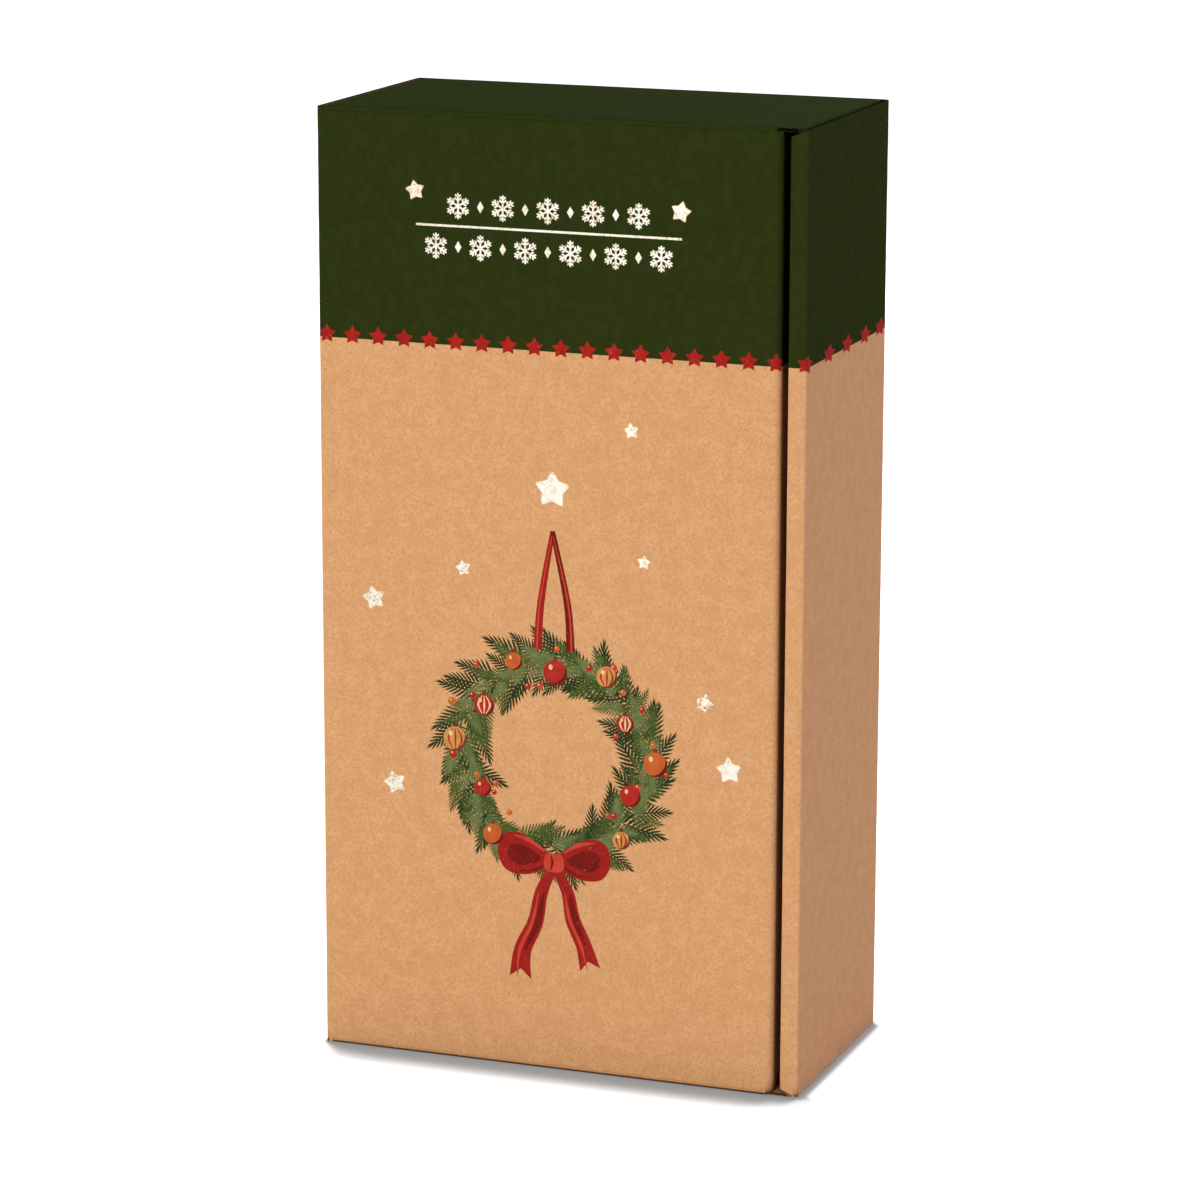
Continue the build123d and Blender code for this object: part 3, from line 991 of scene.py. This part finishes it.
def ink_film_tree():
    """Outline edges in, a thin film of ink out, in a row of copies along x. The film faces z."""
    group, tree, given = geometry_tree(
        "ink_film",
        {
            "copies": ("Int", 1),
            "pitch": ("Float", 0.01),
            "lift": ("Float", 0.00003),
            "sink": ("Float", ink_sink * mm),
            "cuts": ("Int", 0),
            "finish": ("Material", None),
        },
    )
    lift, sink = Value(tree, given["lift"]), Value(tree, given["sink"])
    cut_face = {"Mesh": filled(tree, given["Geometry"]), "Level": given["cuts"]}
    face = moved(tree, tree.out("GeometryNodeSubdivideMesh", None, cut_face), z=0 - sink)
    film = closed_slab(tree, face, lift + sink)
    line = {"Count": given["copies"], "Offset": tree.combine(x=given["pitch"])}
    places = tree.out("GeometryNodeMeshLine", None, line)
    row = tree.out("GeometryNodeInstanceOnPoints", None, {"Points": places, "Instance": film})
    tree.node("NodeGroupOutput", None, {0: painted(tree, plain_mesh(tree, row), given["finish"])})
    return group


ink_film = ink_film_tree()
face_turns = {
    "front": Matrix(((1, 0, 0), (0, 0, -1), (0, 1, 0))),
    "right": Matrix(((0, 0, 1), (1, 0, 0), (0, 1, 0))),
    "back": Matrix(((-1, 0, 0), (0, 0, 1), (0, 1, 0))),
    "left": Matrix(((0, 0, -1), (-1, 0, 0), (0, 1, 0))),
}
face_levels = {
    "front": Vector((0, front + ink_room, 0)), "right": Vector((right - ink_room, 0, 0)),
    "back": Vector((0, back - ink_room, 0)), "left": Vector((left + ink_room, 0, 0)),
}


def printed(name, loops, lift, finish, side="front", copies=1, pitch=0.0, cuts=0):
    """Ink or foil inside those outlines (a along the face, z up, in mm) on one side of the box."""
    flat = [[(a * mm, z * mm) for a, z in loop] for loop in loops]
    piece = run_nodes(name, edge_mesh(name, flat), ink_film, {
        "copies": copies, "pitch": pitch * mm, "lift": lift * mm, "cuts": cuts, "finish": finish,
    })
    piece.data.transform(face_turns[side].to_4x4())
    piece.data.transform(Matrix.Translation(face_levels[side] * mm))
    return piece


def star(x, z, radius, waist=0.55, tilt=0.0, rounding=0.0, widen=1.0):
    """Outline of a five-pointed star. Its waist is a share of its radius, its tilt in degrees."""
    corners = []
    for point in range(10):
        reach = radius if point % 2 == 0 else radius * waist
        angle = radians(90 + tilt + 36 * point)
        corner = (x + widen * reach * cos(angle), z + reach * sin(angle))
        corners.append((*corner, rounding) if point % 2 == 0 and rounding else corner)
    return outline(*corners, bends=2)


def round_corner(piece, centre, radius, side):
    """Lays a print on the front over the rounded corner at that centre, on its left (-1) or right (1)."""
    for vertex in piece.data.vertices:
        x, y, z = vertex.co / mm
        past = side * (x - centre[0])
        if past <= 0:
            continue
        lift = front + ink_room - y
        angle = min(past / radius, pi / 2)
        beyond = past - angle * radius
        vertex.co = Vector((
            centre[0] + side * (radius + lift) * sin(angle),
            centre[1] - (radius + lift) * cos(angle) + beyond,
            z,
        )) * mm


def joined(name, pieces):
    """One object from several."""
    mesh = bmesh.new()
    for piece in pieces:
        mesh.from_mesh(piece.data)
    data = bpy.data.meshes.new(name)
    mesh.to_mesh(data)
    mesh.free()
    for material in pieces[0].data.materials:
        data.materials.append(material)
    for piece in pieces:
        bpy.data.objects.remove(piece)
    whole = bpy.data.objects.new(name, data)
    scene.collection.objects.link(whole)
    return whole


star_red = ink_finish("star_red", (0.42, 0.019, 0.013), (0.34, 0.014, 0.010))
row_z, row_pitch, row_first, row_count = 275.4, 10.3, -91.5, 18
star_radius, star_lift = 3.7, 0.03
side_star_places, side_star_widening, side_star_tilt = (-21.5, 0.2, 21.9, 41.0), 1.9, -12
bent_star_shift = 0.4
back_star_count, left_star_count = 18, 9

row = printed("star_row_lid", [star(row_first, row_z, star_radius)], star_lift, star_red,
              copies=row_count - 1, pitch=row_pitch, cuts=2)
round_corner(row, hinge_corner, thickness, -1)
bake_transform(row)
last_star = printed("star_at_tuck_fold", [star(row_first + row_pitch * (row_count - 1), row_z, star_radius)],
                    star_lift, star_red, cuts=3)
round_corner(last_star, tuck_centre, tuck_radius, 1)
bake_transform(last_star)

ridge_corner = (right - board, front + board)
bend_middle = ridge_corner[0] + thickness * pi / 4
bent_outline = [
    (x + (side_star_widening - 1) * max(x - bend_middle, 0), z)
    for x, z in star(bend_middle + bent_star_shift, row_z, star_radius, tilt=side_star_tilt)
]
bent_star = printed("bent_star", [bent_outline], star_lift, star_red, cuts=3)
round_corner(bent_star, ridge_corner, thickness, 1)
case_rows = [bent_star]
case_rows.append(printed(
    "side_stars",
    [star(y, row_z, star_radius, tilt=side_star_tilt, widen=side_star_widening) for y in side_star_places],
    star_lift, star_red, "right",
))
for side, count in (("back", back_star_count), ("left", left_star_count)):
    first = -row_pitch * (count - 1) / 2
    case_rows.append(printed(f"{side}_stars", [star(first, row_z, star_radius)], star_lift, star_red, side,
                             copies=count, pitch=row_pitch))
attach(joined("star_row_case", case_rows), "case")


# Hot-stamped foil on the lid: scattered stars, and on the band a rule between two rows of
# snow crystals and lozenges. The foil is pale gold and takes the grain of the board.
foil_painted_reflection, foil_shade = (0.94, 0.87, 0.76, 1), (0.58, 0.40, 0.24, 1)


def foil_finish(name, cracks):
    """Pale gold leaf, painted near white: its base colour stands in for the white surround that foil
    reflects, with painted shade in its wrinkles. cracks is the share of its grain where the board shows
    through.
    """
    foil = Finish(name, 0.3, 0.2)
    clouds = foil.noise(260, 2, offset=9.0)
    grain = foil.noise(1500, 3, offset=7.7, twist=1.0)
    wrinkles = foil.ramp(grain, 0.48, 0.60) * foil.ramp(clouds, 0.36, 0.60)
    gold = foil.mix(wrinkles, foil_painted_reflection, foil_shade)
    bare = foil.ramp(foil.noise(1000, 2, offset=2.5), 0.74 - cracks, 0.79 - cracks)
    foil.feed("Base Color", foil.mix(bare, gold, kraft_dark))
    foil.feed("Metallic", 0.12 - 0.12 * bare)
    foil.feed("Roughness", 0.3 + 0.2 * wrinkles + bare * 0.3)
    foil.relief(grain, 0.00006)
    return foil.material


gold_foil = foil_finish("gold_foil", 0.0)
cracked_foil = foil_finish("cracked_foil", 0.22)
foil_lift = 0.04
foil_stars = (
    (-55.8, 330.6, 3.7, 10), (47.2, 328.0, 3.9, -12), (28.6, 247.0, 3.1, 8), (-2.1, 222.9, 7.2, -1),
    (-37.4, 190.8, 3.1, 12), (33.8, 198.5, 2.7, -5), (-73.4, 176.6, 4.7, 14), (67.3, 123.2, 5.2, 6),
    (-65.4, 106.0, 4.7, 18),
)
cracked_star = (57.4, 147.6, 4.0, -14)

rule_left, rule_right, rule_z, rule_width = -55.5, 47.7, 318.2, 0.85
crystal_radius, crystal_pitch, crystal_rows = 4.6, 17.5, ((5, 325.6), (6, 310.6))
crystal_half_width, crystal_tip, crystal_barbs = 0.36, 0.3, ((0.42, 0.26), (0.70, 0.20))
lozenge_width, lozenge_height = 1.3, 2.2


def crystal(x, z, radius):
    """Outline of a six-armed snow crystal, with two pairs of barbs on each arm."""
    half, loop = crystal_half_width, []
    barb_root = 2 * half / sin(pi / 3)
    arm = [(half * sqrt(3), half)]
    for at, length in crystal_barbs:
        tip = (radius * (at + length / 2), half + radius * length * sin(pi / 3))
        arm += [(radius * at, half), tip, (tip[0] + barb_root, tip[1]), (radius * at + barb_root, half)]
    arm += [(radius, half), (radius + crystal_tip, 0)]
    arm += [(a, -b) for a, b in arm[-2::-1]]
    for turn in range(6):
        spin = Matrix.Rotation(turn * pi / 3 + pi / 2, 2)
        loop += [Vector((x, z)) + spin @ Vector(point) for point in reversed(arm)][:-1]
    return loop


foil_waist, foil_rounding = 0.59, 0.09
rim_width, rim_lift = 0.38, 0.033
foil_loops, rim_loops = (
    [star(x, z, radius + rim, foil_waist, tilt, foil_rounding * radius) for x, z, radius, tilt in foil_stars]
    for rim in (0, rim_width)
)
foil_rim = ink_finish("foil_rim", (0.86, 0.55, 0.29), (0.72, 0.40, 0.18), 0.45)
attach(printed("foil_rims", rim_loops, rim_lift, foil_rim), "lid")
foil_loops.append(rectangle(rule_left, rule_z - rule_width / 2, rule_right, rule_z + rule_width / 2))
rule_middle = (rule_left + rule_right) / 2
for count, z in crystal_rows:
    for index in range(count):
        x = rule_middle + (index - (count - 1) / 2) * crystal_pitch
        foil_loops.append(crystal(x, z, crystal_radius))
        if index < count - 1:
            x += crystal_pitch / 2
            foil_loops.append(outline((x, z - lozenge_height), (x + lozenge_width, z),
                                      (x, z + lozenge_height), (x - lozenge_width, z)))
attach(printed("foil_stamping", foil_loops, foil_lift, gold_foil), "lid")
x, z, radius, tilt = cracked_star
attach(printed("cracked_foil_star", [star(x, z, radius, foil_waist, tilt)], foil_lift, cracked_foil), "lid")


# A printed fir wreath on the lid, under the largest foil star: three layers of sprigs in three
# greens, with baubles and berries, a ribbon to hang it by, and a bow with two tails.
wreath_x, wreath_z, wreath_radius = -1.3, 121.0, 36.5
needle_length, needle_half_width = 5.6, 0.45
needle_belly = ((0.25 * needle_length, needle_half_width), (0.7 * needle_length, 0.8 * needle_half_width))
needle_outline = [(0, 0), *((a, -b) for a, b in needle_belly), (needle_length, 0), *needle_belly[::-1]]
first_needle, needled_share, needle_rise = 0.05, 0.9, 0.0000006
root_opening, opening_loss, tip_sharpness, tip_loss = 0.95, 0.6, 9.0, 0.35
stem_lift, stem_length, stem_width = 0.000012, 2.5, 0.7
uneven_spacing, smallest_sprig, largest_sprig = 0.4, 0.8, 1.1
layer_rise = 0.012


def fir_wreath_tree():
    """A needle's outline in, a ring of fir sprigs out. Each needle lies a hair above the last."""
    inputs = {
        "needles": ("Int", 17),
        "sprig length": ("Float", 0.012),
        "sprigs": ("Int", 60),
        "ring radius": ("Float", wreath_radius * mm),
        "scatter": ("Float", 0.003),
        "lean": ("Float", 0.7),
        "swing": ("Float", 0.4),
        "size": ("Float", 1.0),
        "lift": ("Float", 0.00002),
        "rise": ("Float", 0.00002),
        "seed": ("Int", 1),
        "finish": ("Material", None),
    }
    group, tree, given = geometry_tree("fir_wreath", inputs)
    needles, length, sprigs, ring, scatter, lean, swing, size, lift, rise, seed = (
        Value(tree, given[name]) for name in inputs if name != "finish"
    )
    index = tree.value("GeometryNodeInputIndex")
    way = 1 - 2 * index.maths("MODULO", 2.0)

    def chance(low, high, draw):
        """A random number for each sprig, another for each draw."""
        settings = {2: low, 3: high, 8: seed + draw}
        return tree.value("FunctionNodeRandomValue", {"data_type": "FLOAT"}, settings, 1)

    def placed(count, instance, position, angle, scale):
        """So many copies of a shape, each at its own place, angle and scale."""
        points = tree.out("GeometryNodeMeshLine", None, {"Count": count, "Offset": tree.combine()})
        settings = {"Geometry": points, "Position": position}
        return tree.out("GeometryNodeInstanceOnPoints", None, {
            "Points": tree.out("GeometryNodeSetPosition", None, settings),
            "Instance": instance,
            "Rotation": tree.out("FunctionNodeEulerToRotation", None, {0: tree.combine(z=angle)}),
            "Scale": tree.combine(scale, scale, 1.0),
        })

    needle = closed_slab(tree, filled(tree, given["Geometry"]), ink_sink * mm)
    along = index / (needles - 1)
    opening = way * (root_opening - opening_loss * along) * (1 - along.maths("POWER", tip_sharpness))
    place = tree.combine(length * (first_needle + needled_share * along), 0.0, index * needle_rise)
    fan = placed(given["needles"], needle, place, opening, 1 - tip_loss * along)
    stem = tree.out("GeometryNodeTransform", None, {
        "Geometry": needle, "Translation": tree.combine(z=stem_lift),
        "Scale": tree.combine(stem_length, stem_width, 1.0),
    })
    sprig = plain_mesh(tree, together(tree, fan, stem))

    angle = (index + chance(-uneven_spacing, uneven_spacing, 1)) / sprigs * tau
    reach = ring + scatter * chance(-1.0, 1.0, 2)
    height = lift - ink_sink * mm + rise * index / sprigs
    position = tree.combine(reach * angle.maths("COSINE"), reach * angle.maths("SINE"), height)
    heading = angle + pi / 2 - way * lean + swing * chance(-1.0, 1.0, 3)
    scale = size * chance(smallest_sprig, largest_sprig, 4)
    wreath = plain_mesh(tree, placed(given["sprigs"], sprig, position, heading, scale))
    tree.node("NodeGroupOutput", None, {0: painted(tree, wreath, given["finish"])})
    return group


fir_wreath = fir_wreath_tree()
wreath_place = Matrix.Translation(Vector((wreath_x, front + ink_room, wreath_z)) * mm)
needle_loop = [(a * mm, b * mm) for a, b in needle_outline]
for name, colour, second, sprigs, size, lean, swing, lift in (
    ("fir_dark", (0.016, 0.034, 0.011), (0.026, 0.050, 0.016), 74, 1.22, 0.75, 0.45, 0.004),
    ("fir_olive", (0.060, 0.090, 0.022), (0.085, 0.118, 0.030), 66, 0.98, 0.62, 0.50, 0.020),
    ("fir_sage", (0.135, 0.165, 0.055), (0.180, 0.200, 0.080), 44, 0.78, 0.50, 0.60, 0.035),
):
    layer = run_nodes(name, edge_mesh(name, [needle_loop]), fir_wreath, {
        "sprigs": sprigs, "size": size, "lean": lean, "swing": swing, "lift": lift * mm,
        "rise": layer_rise * mm, "seed": len(name), "finish": ink_finish(name, colour, second),
    })
    layer.data.transform(wreath_place @ face_turns["front"].to_4x4())
    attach(layer, "lid")


def smooth(points, closed=False, steps=6):
    """A flowing line through those points."""
    count = len(points)
    places = [Vector(p) for p in points]
    line = []
    for i in range(count if closed else count - 1):
        nearby = [i + k if closed else min(max(i + k, 0), count - 1) for k in (-1, 0, 1, 2)]
        p0, p1, p2, p3 = (places[k % count] for k in nearby)
        for step in range(steps):
            t = step / steps
            line.append(0.5 * (2 * p1 + (p2 - p0) * t + (2 * p0 - 5 * p1 + 4 * p2 - p3) * t * t
                               + (3 * p1 - p0 - 3 * p2 + p3) * t ** 3))
    return line if closed else line + [places[-1]]


def ribbon(points, widths, notch=0.0):
    """Outline of a ribbon along those points, as wide as widths say, with a notch cut in its end."""
    line = smooth(points)
    one, other = [], []
    for i, place in enumerate(line):
        ahead = (line[min(i + 1, len(line) - 1)] - line[max(i - 1, 0)]).normalized()
        across = Vector((-ahead.y, ahead.x))
        share = i / (len(line) - 1) * (len(widths) - 1)
        low_index = min(int(share), len(widths) - 2)
        half = widths[low_index] + (widths[low_index + 1] - widths[low_index]) * (share - low_index)
        one.append(place + across * half)
        other.append(place - across * half)
    end = [line[-1] - (line[-1] - line[-2]).normalized() * notch] if notch else []
    return one + end + other[::-1]


def disc(x, z, radius, sides=28, flat=1.0):
    """Outline of a disc, as tall as flat says beside its width."""
    turns = [tau * i / sides for i in range(sides)]
    return [(x + radius * cos(turn), z + flat * radius * sin(turn)) for turn in turns]


def crescent(x, z, radius, depth, facing, steps=14):
    """The shaded rim of a disc, thickest towards facing (degrees)."""
    rim = []
    for i in range(steps + 1):
        turn = radians(facing - 90 + 180 * i / steps)
        rim.append((x + radius * cos(turn), z + radius * sin(turn)))
    axis, side = radians(facing), radians(facing + 90)
    for i in range(1, steps):
        turn = radians(90 - 180 * i / steps)
        a, b = radius * sin(turn), (1 - depth) * radius * cos(turn)
        rim.append((x + a * cos(side) + b * cos(axis), z + a * sin(side) + b * sin(axis)))
    return rim


inks = {
    "red": ink_finish("bauble_red", (0.46, 0.030, 0.020), (0.39, 0.024, 0.016)),
    "deep_red": ink_finish("ribbon_shade", (0.20, 0.012, 0.009), (0.165, 0.010, 0.008)),
    "ribbon": ink_finish("ribbon_red", (0.36, 0.018, 0.014), (0.31, 0.015, 0.012)),
    "scarlet": ink_finish("ribbon_light", (0.58, 0.060, 0.040), (0.52, 0.050, 0.032)),
    "ochre": ink_finish("bauble_ochre", (0.62, 0.30, 0.085), (0.55, 0.25, 0.065)),
    "orange": ink_finish("bauble_orange", (0.58, 0.125, 0.030), (0.50, 0.100, 0.024)),
    "cream": ink_finish("bauble_cream", (0.80, 0.56, 0.30), (0.72, 0.48, 0.24)),
    "brown": ink_finish("bauble_brown", (0.17, 0.055, 0.020), (0.13, 0.042, 0.016)),
}
film_lifts = {
    "hanger": 0.052, "hanger light": 0.056,
    "tail": 0.0575, "tail shade": 0.0590, "tail light": 0.0598,
    "bow": 0.060, "bow hollow": 0.0635, "bow line": 0.067, "knot": 0.071, "knot line": 0.0735,
    "berry": 0.0742, "berry light": 0.0753,
    "cap": 0.0755, "bauble": 0.0770, "bauble shade": 0.0785, "stripe": 0.0800, "bauble light": 0.0818,
}
hanger_step, bow_step, tail_step, tail_detail_step, berry_step = 0.001, 0.0008, 0.0008, 0.0004, 0.00003
drawn = {}


def draw(ink, layer, loop, above=0.0):
    """Keeps an outline for the film of that ink, at that layer's height or a little above it."""
    drawn.setdefault((ink, film_lifts[layer] + above), []).append(loop)


hanger_top = (wreath_x - 0.6, 207.5)
hanger_root = wreath_z + wreath_radius + 5
hanger_bend = hanger_root + 18
for way in (-1, 1):
    strap = [(wreath_x + way * 6.5, hanger_root), (wreath_x + way * 5.2, hanger_bend), hanger_top]
    draw("ribbon" if way < 0 else "deep_red", "hanger", ribbon(strap, (1.7, 1.4, 0.9)), way * hanger_step)
    edge = [(wreath_x + way * 6.9, hanger_root), (wreath_x + way * 5.6, hanger_bend),
            (hanger_top[0] + way * 0.3, hanger_top[1] - 2)]
    draw("scarlet", "hanger light", ribbon(edge, (0.4, 0.35, 0.15)), way * hanger_step)

bow_x, bow_z = wreath_x, wreath_z - wreath_radius - 3.5
bow_loop = smooth(
    [(0, 1), (-6, 6.5), (-14, 10.5), (-20.5, 9), (-22.5, 2), (-19, -4.5), (-11, -5.5), (-3, -2.5)], True
)
bow_hollow = smooth([(-5, 1.6), (-11, 5.4), (-17, 5.6), (-18.5, 1.5), (-15, -1.8), (-9, -1.2)], True)
bow_glint = ribbon([(-4, 4.4), (-10, 8), (-16, 9.3)], (0.3, 0.9, 0.2))
bow_crease = ribbon([(-3, -0.6), (-8, -3.4), (-14, -4.3)], (0.2, 0.6, 0.2))


def on_bow(points, mirror=1):
    """Points measured from the bow's knot, put in their place on the lid."""
    return [(bow_x + mirror * p[0], bow_z + p[1]) for p in points]


for way in (-1, 1):
    draw("ribbon", "bow", on_bow(bow_loop, -way), way * bow_step)
    draw("deep_red", "bow hollow", on_bow(bow_hollow, -way), way * bow_step)
    draw("scarlet", "bow line", on_bow(bow_glint, -way), way * bow_step)
    draw("deep_red", "bow line", on_bow(bow_crease, -way), way * bow_step)
tails = (
    ([(-0.5, -2), (-5, -12), (-7.5, -24), (-12.5, -35), (-13.5, -46)], (1.6, 2.6, 3.1, 3.4, 4.4), 3.5),
    ([(0.5, -2), (5.5, -11), (7.5, -21), (12, -31), (14.5, -40)], (1.6, 2.5, 3.0, 3.2, 4.2), 3.2),
)
for number, (line, widths, notch) in enumerate(tails):
    draw("ribbon", "tail", on_bow(ribbon(line, widths, notch)), tail_step * number)
    shaded = [(x + 0.9, z) for x, z in line[1:-1]]
    draw("deep_red", "tail shade", on_bow(ribbon(shaded, (0.3, 1.5, 0.3))), tail_detail_step * number)
    lit = [(x - 1.2, z) for x, z in line[1:]]
    draw("scarlet", "tail light", on_bow(ribbon(lit, (0.2, 0.7, 0.6, 0.1))), tail_detail_step * number)
knot = smooth([(-3.4, 2.8), (0, 3.6), (3.4, 2.8), (3.8, -2.4), (0, -3.6), (-3.8, -2.4)], True)
draw("scarlet", "knot", on_bow(knot))
draw("deep_red", "knot line", on_bow(ribbon([(-1.2, 3), (-0.6, 0), (-1.4, -3)], (0.15, 0.5, 0.15))))

chance = random.Random(7)
bauble_count, bauble_sizes, bauble_inks = 13, (4.7, 3.4, 4.1), ("red", "ochre", "red", "orange")
bauble_shades = {"red": "deep_red", "ochre": "brown", "orange": "deep_red"}
shade_depth, shade_side, stripe_places = 0.30, -40, (-0.5, 0.02, 0.5)
berry_count, berry_inks = 30, ("red", "orange", "scarlet")
outer_row, inner_row, cap_half_width, cap_height = 3.5, -4.0, 0.8, 1.3
bow_height, bauble_room, berry_room = 12, 12, 25
for number in range(bauble_count):
    angle = radians(-90 + 360 * (number + 0.5) / bauble_count + chance.uniform(-5, 5))
    reach = wreath_radius + (outer_row if number % 2 else inner_row) + chance.uniform(-1, 1)
    radius = bauble_sizes[number % 3]
    x, z = wreath_x + reach * cos(angle), wreath_z + reach * sin(angle)
    if abs(x - bow_x) < bauble_room and z < bow_z + bow_height:
        continue
    kind = bauble_inks[number % 4]
    cap = rectangle(x - cap_half_width, z + radius * 0.85, x + cap_half_width, z + radius + cap_height)
    draw("brown", "cap", cap)
    draw(kind, "bauble", disc(x, z, radius))
    draw(bauble_shades[kind], "bauble shade", crescent(x, z, radius, shade_depth, shade_side))
    if number % 4 in (0, 1):
        for offset in stripe_places:
            bulge, pole = offset * radius, radius * 0.86
            line = [(x + bulge * 0.35, z + pole), (x + bulge * 1.15, z), (x + bulge * 0.35, z - pole)]
            draw("cream" if kind == "red" else "red", "stripe", ribbon(line, (0.12, 0.42, 0.12)))
    draw("cream", "bauble light", disc(x - radius * 0.38, z + radius * 0.42, radius * 0.17, 14, 1.3))
for number in range(berry_count):
    angle = radians(360 * number / berry_count + chance.uniform(-6, 6))
    reach = wreath_radius + chance.uniform(-11, 12)
    x, z = wreath_x + reach * cos(angle), wreath_z + reach * sin(angle)
    if abs(x - bow_x) < berry_room and z < bow_z + bow_height:
        continue
    radius = chance.uniform(1.0, 1.6)
    draw(berry_inks[number % 3], "berry", disc(x, z, radius, 16), berry_step * number)
    draw("cream", "berry light", disc(x - radius * 0.3, z + radius * 0.35, radius * 0.25, 10))

for ink in inks:
    films = [
        printed(f"{ink}_{number}", loops, lift, inks[ink])
        for number, ((used, lift), loops) in enumerate(drawn.items()) if used == ink
    ]
    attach(joined(f"wreath_{ink}", films), "lid")
